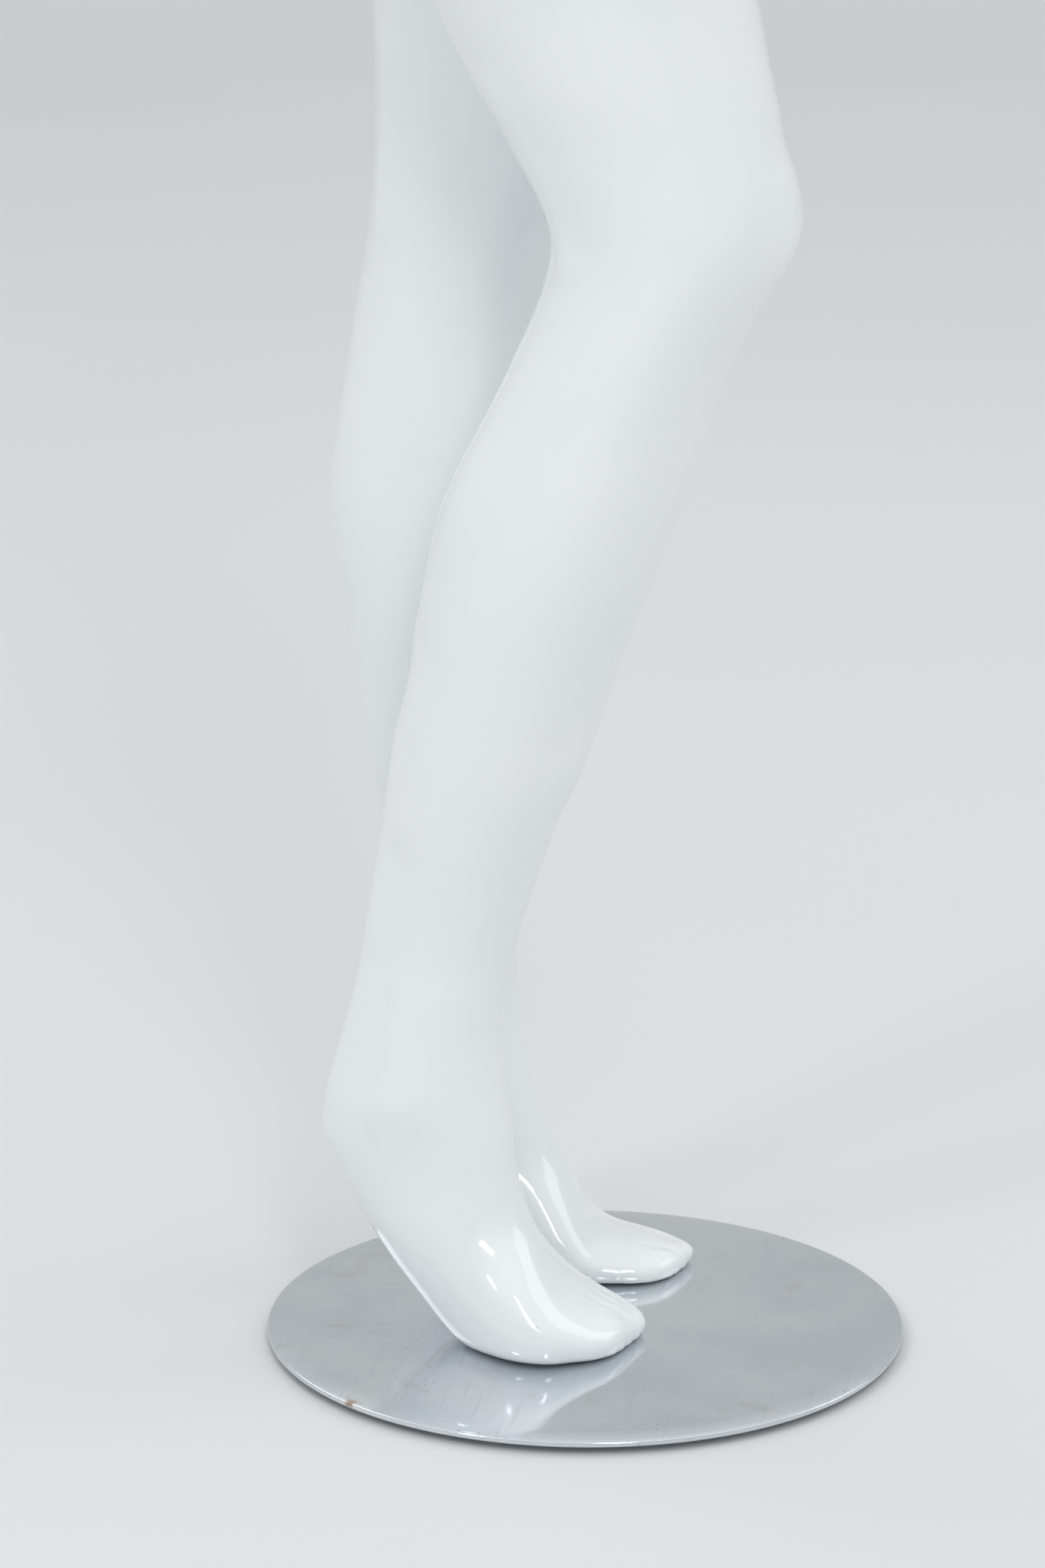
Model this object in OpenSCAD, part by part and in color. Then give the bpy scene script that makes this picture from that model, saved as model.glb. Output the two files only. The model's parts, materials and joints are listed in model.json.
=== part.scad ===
// Full-figure shop mannequin of laminated glass fibre on a round steel base plate.
// Millimetres. +Z is up, the figure faces -Y and its left side is +X.
// The origin is the centre of the base's underside, where it rests on the floor.

/* [Base] */
// Diameter of the steel base plate
plate_d = 330; // [320:1:400]
// Thickness of the base plate
plate_t = 3; // [3:0.5:8]
// Height of the rubber pads under the plate
pad_t = 4; // [2:0.5:5]
// Diameter of the support rod
rod_d = 12; // [10:1:14]
// Height of the rod's tip above the floor
rod_top = 225; // [180:1:240]

/* [Figure] */
// Sideways offset of the figure's midline from the plate's centre
mid_x = 30; // [20:1:40]
// Height of the parting plane at the waist
waist_z = 1150; // [1120:1:1180]
// Height of the parting plane of the removable right leg
thigh_z = 856; // [840:1:864]
// Height of the parting plane at the neck
neck_z = 1540; // [1535:1:1548]
// Height of the parting planes at the wrists
wrist_z = 905; // [895:1:915]
// Distance of the shoulder parting planes from the midline
shoulder_x = 138; // [134:1:140]
// Wall thickness of the laminated shells
wall = 3.5; // [2.5:0.5:4.5]
// Gap between two shells at a parting plane
seam = 0.4; // [0.3:0.1:0.8]

/* [Fittings] */
// Thickness of the plywood closing discs
disc_t = 12; // [9:1:15]
// Thickness of the steel flanges on the discs
flange_t = 3; // [2.5:0.5:4]
// Radial clearance of each spigot in its socket
fit = 0.05; // [0.02:0.01:0.08]
// Radius of the waist and thigh spigots
big_pin_r = 13; // [11:1:14]
// Radius of the neck and shoulder spigots
small_pin_r = 9; // [7:1:10]
// Radius of the wrist spigots
wrist_pin_r = 4; // [3:0.5:5]

/* [Hidden] */

RIGHT = -1;
LEFT = 1;
ROUND = 64;          // facets of a turned part
LIMB_SIDES = 26;     // facets round a limb
TRUNK_SIDES = 36;    // facets round the trunk and the head
CORE_SIDES = 20;     // facets round a hollow
FINGER_SIDES = 10;
HUGE = 2000;         // larger than the figure, for cutting

plate_top = pad_t + plate_t;
sole_z = plate_top + 0.3;    // the soles hover just clear of the plate
rod_r = rod_d / 2;
socket_wall = 2.5;
flange_rim = 5;
screw_r = 1.9;
screw_head_r = 3.8;
screw_l = 11;
big_spread = big_pin_r + 11;        // distance of the flange screws from the pin's axis
small_spread = small_pin_r + 7;
big_depth = 62;
small_depth = 34;
wrist_depth = 26;
bolt_r = 3;
bolt_head_r = 6.9;
bolt_head_h = 2.6;
bolt_l = 24;
collar_r = 13;
collar_h = 2.4;

// Where the fittings stand
rod_at = [88, 78];
lock_r = 3;
boss_r = 6.5;
boss_l = 34;
lock_at = [rod_at[0], rod_at[1] + rod_r + fit + socket_wall, 118];
thigh_at = [mid_x - 82, 45];
waist_at = [mid_x, 40];
neck_at = [mid_x, 44];
shoulder_at = [45, 1418];    // y and z
wrist_at = [218, 10];        // distance from the midline, and y
washer_t = 1.6;
waist_half_gap = 1;          // each waist flange stops this far from the parting plane
shoulder_hole = [27, 40];    // half sizes of the elliptical shoulder openings, along y and z

// Each row is one level section: height, centre x, half width, front y, back y.
// x is counted from the midline on the trunk, the head and the arms.
trunk_rows = [
    [868, 0, 14, 28, 92],
    [878, 0, 58, 2, 118],
    [894, 0, 112, -22, 145],
    [915, 0, 146, -38, 162],
    [942, 0, 161, -48, 170],
    [980, 0, 162, -54, 166],
    [1020, 0, 151, -56, 150],
    [1065, 0, 134, -54, 130],
    [1110, 0, 120, -46, 116],
    [1150, 0, 116, -40, 112],
    [1200, 0, 120, -44, 116],
    [1250, 0, 126, -50, 123],
    [1300, 0, 130, -56, 129],
    [1350, 0, 134, -60, 132],
    [1400, 0, 139, -54, 130],
    [1432, 0, 148, -42, 124],
    [1455, 0, 150, -28, 115],
    [1470, 0, 134, -14, 107],
    [1482, 0, 108, -3, 100],
    [1494, 0, 80, 3, 96],
    [1508, 0, 61, 6, 93],
    [1525, 0, 54, 4, 90],
    [1550, 0, 52, -3, 85],
    [1580, 0, 52, -12, 82],
    [1615, 0, 48, -18, 78]
];
head_rows = [
    [1584, 0, 11, -64, -42],
    [1589, 0, 24, -71, -20],
    [1602, 0, 41, -78, 18],
    [1620, 0, 54, -81, 62],
    [1640, 0, 63, -82, 95],
    [1668, 0, 71, -82, 113],
    [1700, 0, 75, -80, 119],
    [1735, 0, 74, -73, 117],
    [1768, 0, 65, -56, 104],
    [1790, 0, 47, -32, 80],
    [1802, 0, 22, -4, 50],
    [1805, 0, 8, 12, 36]
];
arm_rows = [
    [892, 218, 18, -16, 38],
    [905, 218, 18.5, -16, 37],
    [940, 217, 20, -14, 36],
    [980, 214, 25, -9, 44],
    [1030, 211, 29, -2, 59],
    [1080, 207, 33, 7, 73],
    [1120, 204, 34, 15, 81],
    [1165, 200, 32, 20, 85],
    [1200, 196, 32, 20, 87],
    [1250, 190, 34, 15, 87],
    [1300, 184, 36, 9, 88],
    [1345, 178, 38, 4, 90],
    [1370, 174, 39.5, 1, 91],
    [1400, 169, 41, 0, 91],
    [1428, 163, 40, 3, 88],
    [1450, 156, 35, 10, 82],
    [1464, 149, 26, 20, 73],
    [1472, 143, 12, 34, 60]
];
palm_rows = [
    [808, 216, 9, -22, 42],
    [818, 216, 13, -25, 47],
    [840, 217, 15, -25, 47],
    [868, 218, 16.5, -21, 42],
    [890, 218, 17.5, -17, 38],
    [905, 218, 18.5, -16, 37]
];
// Left leg, upright and bearing the figure, down to the raised foot
left_leg_rows = [
    [sole_z, 87, 33, -32, 46],
    [12, 87, 40, -41, 60],
    [18, 87, 42, -47, 69],
    [24, 87, 42, -40, 76],
    [32, 88, 41, -20, 84],
    [45, 88, 38, 3, 97],
    [62, 88, 36, 19, 109],
    [84, 88, 34, 30, 124],
    [105, 88, 34, 38, 131],
    [137, 88, 34, 46, 131],
    [167, 88, 34, 49, 124],
    [190, 88, 32, 49, 119],
    [214, 88, 31, 48, 118],
    [254, 89, 33, 48, 124],
    [295, 90, 38, 46, 131],
    [331, 91, 43, 43, 136],
    [372, 92, 49, 40, 143],
    [427, 93, 54, 34, 146],
    [470, 94, 54, 30, 142],
    [521, 95, 52, 25, 135],
    [555, 96, 52, 17, 130],
    [591, 97, 54, 5, 127],
    [620, 99, 57, -4, 125],
    [677, 102, 64, -17, 125],
    [740, 106, 71, -24, 133],
    [800, 110, 76, -28, 141],
    [856, 112, 78, -30, 147],
    [900, 113, 82, -34, 150],
    [940, 111, 78, -36, 156],
    [975, 104, 58, -14, 136]
];
// Right leg, bent forward at the knee
right_leg_rows = [
    [sole_z, -27, 33, -24, 46],
    [12, -27, 40, -32, 59],
    [18, -27, 42, -38, 69],
    [24, -27, 42, -33, 76],
    [32, -26, 41, -21, 84],
    [46, -25, 38, -5, 97],
    [62, -24, 36, 13, 109],
    [84, -22, 34, 26, 124],
    [108, -22, 34, 34, 133],
    [135, -22, 35, 38, 131],
    [165, -22, 34, 40, 123],
    [190, -23, 32, 38, 116],
    [210, -23, 31, 34, 112],
    [240, -24, 33, 25, 107],
    [278, -26, 38, 12, 100],
    [313, -28, 43, -2, 95],
    [365, -31, 49, -20, 85],
    [405, -33, 53, -35, 77],
    [446, -35, 54, -50, 66],
    [496, -37, 53, -66, 42],
    [540, -38, 53, -85, 22],
    [571, -38, 54, -104, 15],
    [590, -39, 55, -108, 18],
    [619, -40, 57, -103, 32],
    [652, -42, 62, -94, 50],
    [691, -44, 67, -85, 70],
    [740, -47, 72, -74, 92],
    [800, -50, 76, -58, 115],
    [856, -52, 78, -42, 132],
    [900, -54, 81, -38, 146],
    [940, -51, 78, -38, 154],
    [975, -44, 58, -14, 134]
];

// --- Smooth stacks of level sections ---

// Change of each value per millimetre of height at row i
function slope(rows, i) =
    let (below = max(i - 1, 0), above = min(i + 1, len(rows) - 1))
    (rows[above] - rows[below]) / (rows[above][0] - rows[below][0]);

// Cubic blend from row i to the next, with t from 0 to 1
function between(rows, i, t) =
    let (rise = rows[i + 1][0] - rows[i][0])
    rows[i] * (2 * pow(t, 3) - 3 * pow(t, 2) + 1)
    + slope(rows, i) * rise * (pow(t, 3) - 2 * pow(t, 2) + t)
    + rows[i + 1] * (3 * pow(t, 2) - 2 * pow(t, 3))
    + slope(rows, i + 1) * rise * (pow(t, 3) - pow(t, 2));

function smooth_rows(rows, steps) = concat(
    [for (i = [0 : len(rows) - 2]) for (k = [0 : steps - 1]) between(rows, i, k / steps)],
    [rows[len(rows) - 1]]
);

// The section at one height
function row_at(rows, z) =
    let (i = max([for (j = [0 : len(rows) - 2]) if (rows[j][0] <= z) j]))
    between(rows, i, (z - rows[i][0]) / (rows[i + 1][0] - rows[i][0]));

function placed(rows, side) = [for (r = rows) [r[0], mid_x + side * r[1], r[2], r[3], r[4]]];

function section(row, inset, sides) = [
    for (j = [0 : sides - 1])
        let (a = 360 * j / sides)
        [
            row[1] + (row[2] - inset) * cos(a),
            (row[3] + row[4]) / 2 + ((row[4] - row[3]) / 2 - inset) * sin(a)
        ]
];

module stack(rows, inset = 0, sides = LIMB_SIDES, steps = 1) {
    levels = smooth_rows(rows, steps);
    count = len(levels);
    points = [for (row = levels) for (p = section(row, inset, sides)) [p[0], p[1], row[0]]];
    walls = [
        for (i = [0 : count - 2])
            for (j = [0 : sides - 1])
                let (k = (j + 1) % sides, low = i * sides, high = low + sides)
                for (face = [[low + j, high + j, high + k], [low + j, high + k, low + k]]) face
    ];
    bottom = [for (j = [0 : sides - 1]) j];
    top = [for (j = [sides - 1 : -1 : 0]) (count - 1) * sides + j];
    polyhedron(points, concat(walls, [bottom], [top]), convexity = 6);
}

// The rows that lie between two heights, closed by a section at each of them
function rows_between(rows, low, high) = concat(
    [row_at(rows, low)],
    [for (r = rows) if (r[0] > low + 1 && r[0] < high - 1) r],
    [row_at(rows, high)]
);

// One closed mesh of everything under it, at its own size
module one_mesh() {
    resize([0, 0, 0]) union() children();
}

module above(z) {
    translate([-HUGE / 2, -HUGE / 2, z]) cube([HUGE, HUGE, HUGE]);
}

module below(z) {
    translate([-HUGE / 2, -HUGE / 2, z - HUGE]) cube([HUGE, HUGE, HUGE]);
}

// Everything further out than the shoulder's parting plane on one side
module outside_shoulder(side, distance) {
    translate([mid_x + side * (distance + HUGE / 2), 0, HUGE / 2])
        cube([HUGE, HUGE, HUGE], center = true);
}

// --- Fittings ---
// Each is drawn about +Z with its mating face at z = 0.

module countersunk_holes(count, spread) {
    for (i = [0 : count - 1])
        rotate([0, 0, 45 + 360 * i / count])
            translate([spread, 0, -screw_l - 1])
                cylinder(r = screw_r + 0.1, h = screw_l + 2, $fn = ROUND);
    for (i = [0 : count - 1])
        rotate([0, 0, 45 + 360 * i / count])
            translate([spread, 0, -flange_t + 1])
                cylinder(r1 = screw_r + 0.1, r2 = screw_head_r + 0.3, h = flange_t - 1, $fn = ROUND);
}

module countersunk_screws(count, spread) {
    color("lightgray")
        for (i = [0 : count - 1])
            rotate([0, 0, 45 + 360 * i / count])
                translate([spread, 0, 0])
                    difference() {
                        union() {
                            translate([0, 0, -screw_l]) cylinder(r = screw_r, h = screw_l, $fn = ROUND);
                            translate([0, 0, -flange_t + 1])
                                cylinder(r1 = screw_r, r2 = screw_head_r - 0.2, h = flange_t - 1.2,
                                         $fn = ROUND);
                        }
                        for (turn = [0, 90])
                            rotate([0, 0, turn])
                                translate([-1.8, -0.4, -1.4]) cube([3.6, 0.8, 3]);
                    }
}

// Flanged tube that takes a spigot; the tube hangs below its flange
module socket(pin_r, depth, spread) {
    tube_r = pin_r + socket_wall;
    color("silver")
        difference() {
            union() {
                translate([0, 0, -flange_t]) cylinder(r = spread + 7, h = flange_t, $fn = ROUND);
                translate([0, 0, -depth]) cylinder(r = tube_r, h = depth, $fn = ROUND);
            }
            translate([0, 0, -depth - 1]) cylinder(r = pin_r + fit, h = depth + 2, $fn = ROUND);
            countersunk_holes(4, spread);
        }
}

// Flanged pin; the pin hangs below its flange, and a short root passes up through the disc
module spigot(pin_r, length, spread) {
    chamfer = 1.5;
    color("silver")
        difference() {
            union() {
                cylinder(r = spread + 7, h = flange_t, $fn = ROUND);
                translate([0, 0, -length + chamfer])
                    cylinder(r = pin_r, h = length - chamfer + flange_t, $fn = ROUND);
                translate([0, 0, -length])
                    cylinder(r1 = pin_r - chamfer, r2 = pin_r, h = chamfer, $fn = ROUND);
                cylinder(r = pin_r, h = flange_t + disc_t + 4, $fn = ROUND);
            }
            mirror([0, 0, 1]) countersunk_holes(4, spread);
        }
}

// Plywood disc drilled for a fitting; its outer face is at z = 0 and it goes down
module drilled_disc(outline, centre, bore_r, spread) {
    color("burlywood")
        translate([0, 0, -disc_t])
            difference() {
                linear_extrude(height = disc_t) polygon(outline);
                translate([centre[0], centre[1], -1])
                    cylinder(r = bore_r + 0.2, h = disc_t + 2, $fn = ROUND);
                for (i = [0 : 3])
                    translate([centre[0], centre[1], 2])
                        rotate([0, 0, 45 + 90 * i])
                            translate([spread, 0, 0])
                                cylinder(r = screw_r + 0.05, h = disc_t, $fn = ROUND);
            }
}

// --- Base ---

module base_plate() {
    rim = 0.6;
    color([0.72, 0.75, 0.79])
        difference() {
            translate([0, 0, pad_t])
                rotate_extrude($fn = 180)
                    polygon([
                        [0, 0], [plate_d / 2 - rim, 0], [plate_d / 2, rim],
                        [plate_d / 2, plate_t - rim], [plate_d / 2 - rim, plate_t], [0, plate_t]
                    ]);
            translate([rod_at[0], rod_at[1], 0])
                cylinder(r = bolt_r + 1.1, h = plate_top + 1, $fn = ROUND);
            translate([rod_at[0], rod_at[1], pad_t - 0.01])
                cylinder(r1 = bolt_head_r + 0.3, r2 = bolt_r + 1.1, h = 2.6, $fn = ROUND);
        }
}

module base_pads() {
    middle_r = 18;
    pad_r = 11;
    pads = 6;
    from_rim = 22;
    color([0.12, 0.12, 0.12]) {
        cylinder(r = middle_r, h = pad_t, $fn = ROUND);
        for (i = [0 : pads - 1])
            rotate([0, 0, 30 + 360 * i / pads])
                translate([plate_d / 2 - from_rim, 0, 0]) cylinder(r = pad_r, h = pad_t, $fn = ROUND);
    }
}

module support_rod() {
    chamfer = 1.5;
    color([0.78, 0.8, 0.82])
        translate([rod_at[0], rod_at[1], plate_top])
            difference() {
                union() {
                    cylinder(r = rod_r, h = rod_top - plate_top - chamfer, $fn = ROUND);
                    translate([0, 0, rod_top - plate_top - chamfer])
                        cylinder(r1 = rod_r, r2 = rod_r - chamfer, h = chamfer, $fn = ROUND);
                }
                translate([0, 0, -1]) cylinder(r = bolt_r + fit, h = bolt_l + 2, $fn = ROUND);
            }
}

// Collar at the foot of the rod
module rod_flange() {
    color([0.78, 0.8, 0.82])
        translate([rod_at[0], rod_at[1], plate_top])
            difference() {
                union() {
                    cylinder(r = collar_r, h = collar_h, $fn = ROUND);
                    translate([0, 0, collar_h])
                        cylinder(r1 = collar_r - 2.5, r2 = collar_r - 4, h = 4, $fn = ROUND);
                }
                translate([0, 0, -1]) cylinder(r = rod_r + 0.03, h = 9, $fn = ROUND);
            }
}

// Countersunk bolt from under the plate into the rod
module rod_bolt() {
    color([0.45, 0.46, 0.48])
        translate([rod_at[0], rod_at[1], pad_t + 0.2])
            difference() {
                union() {
                    cylinder(r1 = bolt_head_r, r2 = bolt_r, h = bolt_head_h, $fn = ROUND);
                    cylinder(r = bolt_r, h = bolt_l, $fn = ROUND);
                }
                translate([0, 0, -0.5]) cylinder(r = 2.3, h = 2.2, $fn = 6);
            }
}

// --- Legs and hips ---

// Height at which the rod socket enters the raised sole
sole_entry_z = 34;
socket_top = rod_top + 12;
leg_core_low = 176;

module lower_outer() {
    difference() {
        union() {
            stack(placed(trunk_rows, 1), sides = TRUNK_SIDES);
            stack(rows_between(right_leg_rows, thigh_z + seam / 2, 974));
            stack(left_leg_rows);
        }
        above(waist_z - seam / 2);
    }
}

module lower_core() {
    stack(
        rows_between(placed(trunk_rows, 1), 890, waist_z + 5),
        inset = wall, sides = CORE_SIDES + 8
    );
    stack(rows_between(right_leg_rows, thigh_z - 5, 920), inset = wall, sides = CORE_SIDES + 6);
    stack(rows_between(left_leg_rows, leg_core_low, 920), inset = wall, sides = CORE_SIDES);
}

module lower_body_shell() {
    color([0.93, 0.94, 0.96])
        one_mesh()
            difference() {
                lower_outer();
                lower_core();
                translate([rod_at[0], rod_at[1], 0])
                    cylinder(r = rod_r + fit + socket_wall, h = socket_top, $fn = 32);
                translate([lock_at[0], rod_at[1], lock_at[2]])
                    rotate([-90, 0, 0]) cylinder(r = boss_r, h = 70, $fn = 24);
            }
}

// Steel tube laminated into the left leg, closed at the top, that drops over the rod
module leg_socket() {
    color("silver")
        translate([rod_at[0], rod_at[1], 0])
            difference() {
                translate([0, 0, sole_entry_z])
                    cylinder(r = rod_r + fit + socket_wall, h = socket_top - sole_entry_z, $fn = ROUND);
                cylinder(r = rod_r + fit, h = socket_top - 4, $fn = ROUND);
                translate([0, 0, lock_at[2]])
                    rotate([-90, 0, 0]) cylinder(r = lock_r + 0.3, h = 30, $fn = ROUND);
            }
}

// Threaded boss between the socket and the back of the heel
module lock_screw_boss() {
    color("silver")
        translate(lock_at)
            rotate([-90, 0, 0])
                difference() {
                    translate([0, 0, 1]) cylinder(r = boss_r, h = boss_l - 1, $fn = ROUND);
                    cylinder(r = lock_r + fit, h = boss_l + 1, $fn = ROUND);
                }
}

// Set screw that clamps the rod, turned from behind the heel
module ankle_lock_screw() {
    gap = 0.3;
    start = lock_at[1] - rod_at[1] - rod_r - gap;
    color([0.35, 0.36, 0.38])
        translate([lock_at[0], lock_at[1] - start, lock_at[2]])
            rotate([-90, 0, 0])
                difference() {
                    cylinder(r = lock_r, h = start + boss_l - 2, $fn = ROUND);
                    translate([0, 0, start + boss_l - 6]) cylinder(r = 1.5, h = 6, $fn = 6);
                }
}

module hip_top_disc() {
    top = waist_z - waist_half_gap - flange_t;
    outline = section(row_at(placed(trunk_rows, 1), top - disc_t / 2), wall - 0.3, CORE_SIDES + 8);
    translate([0, 0, top]) drilled_disc(outline, waist_at, big_pin_r + socket_wall, big_spread);
}

module waist_socket() {
    translate([waist_at[0], waist_at[1], waist_z - waist_half_gap])
        socket(big_pin_r, big_depth, big_spread);
}

module waist_socket_screws() {
    translate([waist_at[0], waist_at[1], waist_z - waist_half_gap]) countersunk_screws(4, big_spread);
}

module hip_thigh_disc() {
    bottom = thigh_z + seam / 2 + flange_t;
    outline = section(row_at(right_leg_rows, bottom + disc_t / 2), wall - 0.3, CORE_SIDES + 6);
    flipped = [for (p = outline) [p[0], -p[1]]];
    translate([0, 0, bottom])
        rotate([180, 0, 0])
            drilled_disc(flipped, [thigh_at[0], -thigh_at[1]], big_pin_r + socket_wall, big_spread);
}

module thigh_socket() {
    translate([thigh_at[0], thigh_at[1], thigh_z + seam / 2])
        rotate([180, 0, 0]) socket(big_pin_r, big_depth, big_spread);
}

module thigh_socket_screws() {
    translate([thigh_at[0], thigh_at[1], thigh_z + seam / 2])
        rotate([180, 0, 0]) countersunk_screws(4, big_spread);
}

module right_leg_shell() {
    color([0.93, 0.94, 0.96])
        one_mesh()
            difference() {
                stack(rows_between(right_leg_rows, right_leg_rows[0][0], thigh_z - seam / 2));
                stack(
                    rows_between(right_leg_rows, leg_core_low, thigh_z + 5),
                    inset = wall, sides = CORE_SIDES
                );
            }
}

module right_thigh_disc() {
    top = thigh_z - seam / 2 - flange_t;
    outline = section(row_at(right_leg_rows, top - disc_t / 2), wall - 0.3, CORE_SIDES);
    translate([0, 0, top]) drilled_disc(outline, thigh_at, big_pin_r, big_spread);
}

module thigh_spigot() {
    translate([thigh_at[0], thigh_at[1], thigh_z - seam / 2])
        rotate([180, 0, 0]) spigot(big_pin_r, big_depth - 6, big_spread);
}

module thigh_spigot_screws() {
    translate([thigh_at[0], thigh_at[1], thigh_z - seam / 2]) countersunk_screws(4, big_spread);
}

// --- Torso ---

module waist_washer() {
    color([0.9, 0.9, 0.86])
        translate([waist_at[0], waist_at[1], waist_z - washer_t / 2])
            difference() {
                cylinder(r = big_spread + 6, h = washer_t, $fn = ROUND);
                translate([0, 0, -1]) cylinder(r = big_pin_r + fit, h = washer_t + 2, $fn = ROUND);
            }
}

// Bust and shoulders added to the level sections of the trunk
module torso_outer() {
    bust_r = 54;
    bust_x = 62;
    union() {
        stack(placed(trunk_rows, 1), sides = TRUNK_SIDES);
        for (side = [LEFT, RIGHT]) {
            translate([mid_x + side * bust_x, -42, 1326])
                scale([1, 1, 1.08]) sphere(r = bust_r, $fn = 28);
            stack(placed(arm_rows, side));
        }
    }
}

module shoulder_opening(side, from, length) {
    translate([mid_x + side * from, shoulder_at[0], shoulder_at[1]])
        rotate([0, side * 90, 0])
            linear_extrude(height = length) polygon(shoulder_outline(0));
}

// Ellipse of the shoulder opening, drawn across the fitting's axis
function shoulder_outline(inset) = [
    for (j = [0 : CORE_SIDES + 7])
        let (a = 360 * j / (CORE_SIDES + 8))
        [(shoulder_hole[1] - inset) * cos(a), (shoulder_hole[0] - inset) * sin(a)]
];

module torso_shell() {
    plane = shoulder_x - seam / 2;
    color([0.93, 0.94, 0.96])
        one_mesh()
            difference() {
                torso_outer();
                below(waist_z + seam / 2);
                above(neck_z - seam / 2);
                for (side = [LEFT, RIGHT]) {
                    outside_shoulder(side, plane);
                    shoulder_opening(side, plane - 40, 60);
                }
                stack(
                    rows_between(placed(trunk_rows, 1), waist_z - 5, neck_z + 5),
                    inset = wall, sides = CORE_SIDES + 8
                );
            }
}

module torso_bottom_disc() {
    bottom = waist_z + waist_half_gap + flange_t;
    outline = section(row_at(placed(trunk_rows, 1), bottom + disc_t / 2), wall - 0.3, CORE_SIDES + 8);
    flipped = [for (p = outline) [p[0], -p[1]]];
    translate([0, 0, bottom])
        rotate([180, 0, 0])
            drilled_disc(flipped, [waist_at[0], -waist_at[1]], big_pin_r, big_spread);
}

module waist_spigot() {
    translate([waist_at[0], waist_at[1], waist_z + waist_half_gap])
        spigot(big_pin_r, big_depth - 6, big_spread);
}

module waist_spigot_screws() {
    translate([waist_at[0], waist_at[1], waist_z + waist_half_gap])
        rotate([180, 0, 0]) countersunk_screws(4, big_spread);
}

module neck_disc() {
    top = neck_z - seam / 2 - flange_t;
    outline = section(row_at(placed(trunk_rows, 1), top - disc_t / 2), wall - 0.3, CORE_SIDES + 8);
    translate([0, 0, top]) drilled_disc(outline, neck_at, small_pin_r + socket_wall, small_spread);
}

module neck_socket() {
    translate([neck_at[0], neck_at[1], neck_z - seam / 2])
        socket(small_pin_r, small_depth, small_spread);
}

module neck_socket_screws() {
    translate([neck_at[0], neck_at[1], neck_z - seam / 2]) countersunk_screws(4, small_spread);
}

// Stands a fitting drawn about +Z at a shoulder, with +Z pointing out along the arm's axis
module at_shoulder(side, distance) {
    translate([mid_x + side * distance, shoulder_at[0], shoulder_at[1]])
        rotate([0, side * 90, 0])
            children();
}

module shoulder_disc(side) {
    at_shoulder(side, shoulder_x - seam / 2 - flange_t)
        drilled_disc(shoulder_outline(0), [0, 0], small_pin_r + socket_wall, small_spread);
}

module shoulder_socket(side) {
    at_shoulder(side, shoulder_x - seam / 2) socket(small_pin_r, small_depth, small_spread);
}

module shoulder_screws(side) {
    at_shoulder(side, shoulder_x - seam / 2) countersunk_screws(4, small_spread);
}

module left_shoulder_disc() shoulder_disc(LEFT);
module left_shoulder_socket() shoulder_socket(LEFT);
module left_shoulder_screws() shoulder_screws(LEFT);
module right_shoulder_disc() shoulder_disc(RIGHT);
module right_shoulder_socket() shoulder_socket(RIGHT);
module right_shoulder_screws() shoulder_screws(RIGHT);

// --- Head ---

module head_shell() {
    core_low = neck_z - 5;
    color([0.93, 0.94, 0.96])
        one_mesh()
            difference() {
                union() {
                    stack(placed(head_rows, 1), sides = TRUNK_SIDES);
                    stack(
                        rows_between(placed(trunk_rows, 1), neck_z + seam / 2, 1612),
                        sides = TRUNK_SIDES
                    );
                }
                stack(rows_between(placed(trunk_rows, 1), core_low, 1610), inset = wall, sides = CORE_SIDES);
                stack(
                    rows_between(placed(head_rows, 1), 1600, 1796),
                    inset = wall + 0.5, sides = CORE_SIDES
                );
            }
}

module head_disc() {
    bottom = neck_z + seam / 2 + flange_t;
    outline = section(row_at(placed(trunk_rows, 1), bottom + disc_t / 2), wall - 0.3, CORE_SIDES);
    flipped = [for (p = outline) [p[0], -p[1]]];
    translate([0, 0, bottom])
        rotate([180, 0, 0])
            drilled_disc(flipped, [neck_at[0], -neck_at[1]], small_pin_r, small_spread);
}

module head_spigot() {
    translate([neck_at[0], neck_at[1], neck_z + seam / 2])
        spigot(small_pin_r, small_depth - 4, small_spread);
}

module head_spigot_screws() {
    translate([neck_at[0], neck_at[1], neck_z + seam / 2])
        rotate([180, 0, 0]) countersunk_screws(4, small_spread);
}

// --- Arms ---

module arm_shell(side) {
    plane = shoulder_x + seam / 2;
    color([0.93, 0.94, 0.96])
        one_mesh()
            difference() {
                intersection() {
                    stack(placed(arm_rows, side), sides = LIMB_SIDES - 2);
                    outside_shoulder(side, plane);
                }
                below(wrist_z + seam / 2);
                shoulder_opening(side, plane - 10, 10 + flange_t + disc_t);
                stack(
                    rows_between(placed(arm_rows, side), wrist_z + 45, 1455),
                    inset = wall, sides = CORE_SIDES - 4
                );
                wrist_pocket(side);
            }
}

// Round pocket in the end of the forearm for the wrist socket
module wrist_pocket(side) {
    tube_r = wrist_pin_r + socket_wall;
    translate([mid_x + side * wrist_at[0], wrist_at[1], wrist_z]) {
        cylinder(r = tube_r, h = wrist_depth + seam / 2, $fn = 32);
        cylinder(r = tube_r + flange_rim, h = flange_t + seam / 2, $fn = 32);
    }
}

module arm_disc(side) {
    at_shoulder(side, shoulder_x + seam / 2 + flange_t)
        rotate([180, 0, 0])
            drilled_disc(shoulder_outline(0), [0, 0], small_pin_r, small_spread);
}

module arm_spigot(side) {
    at_shoulder(side, shoulder_x + seam / 2) spigot(small_pin_r, small_depth - 4, small_spread);
}

module arm_screws(side) {
    at_shoulder(side, shoulder_x + seam / 2) rotate([180, 0, 0]) countersunk_screws(4, small_spread);
}

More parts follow.
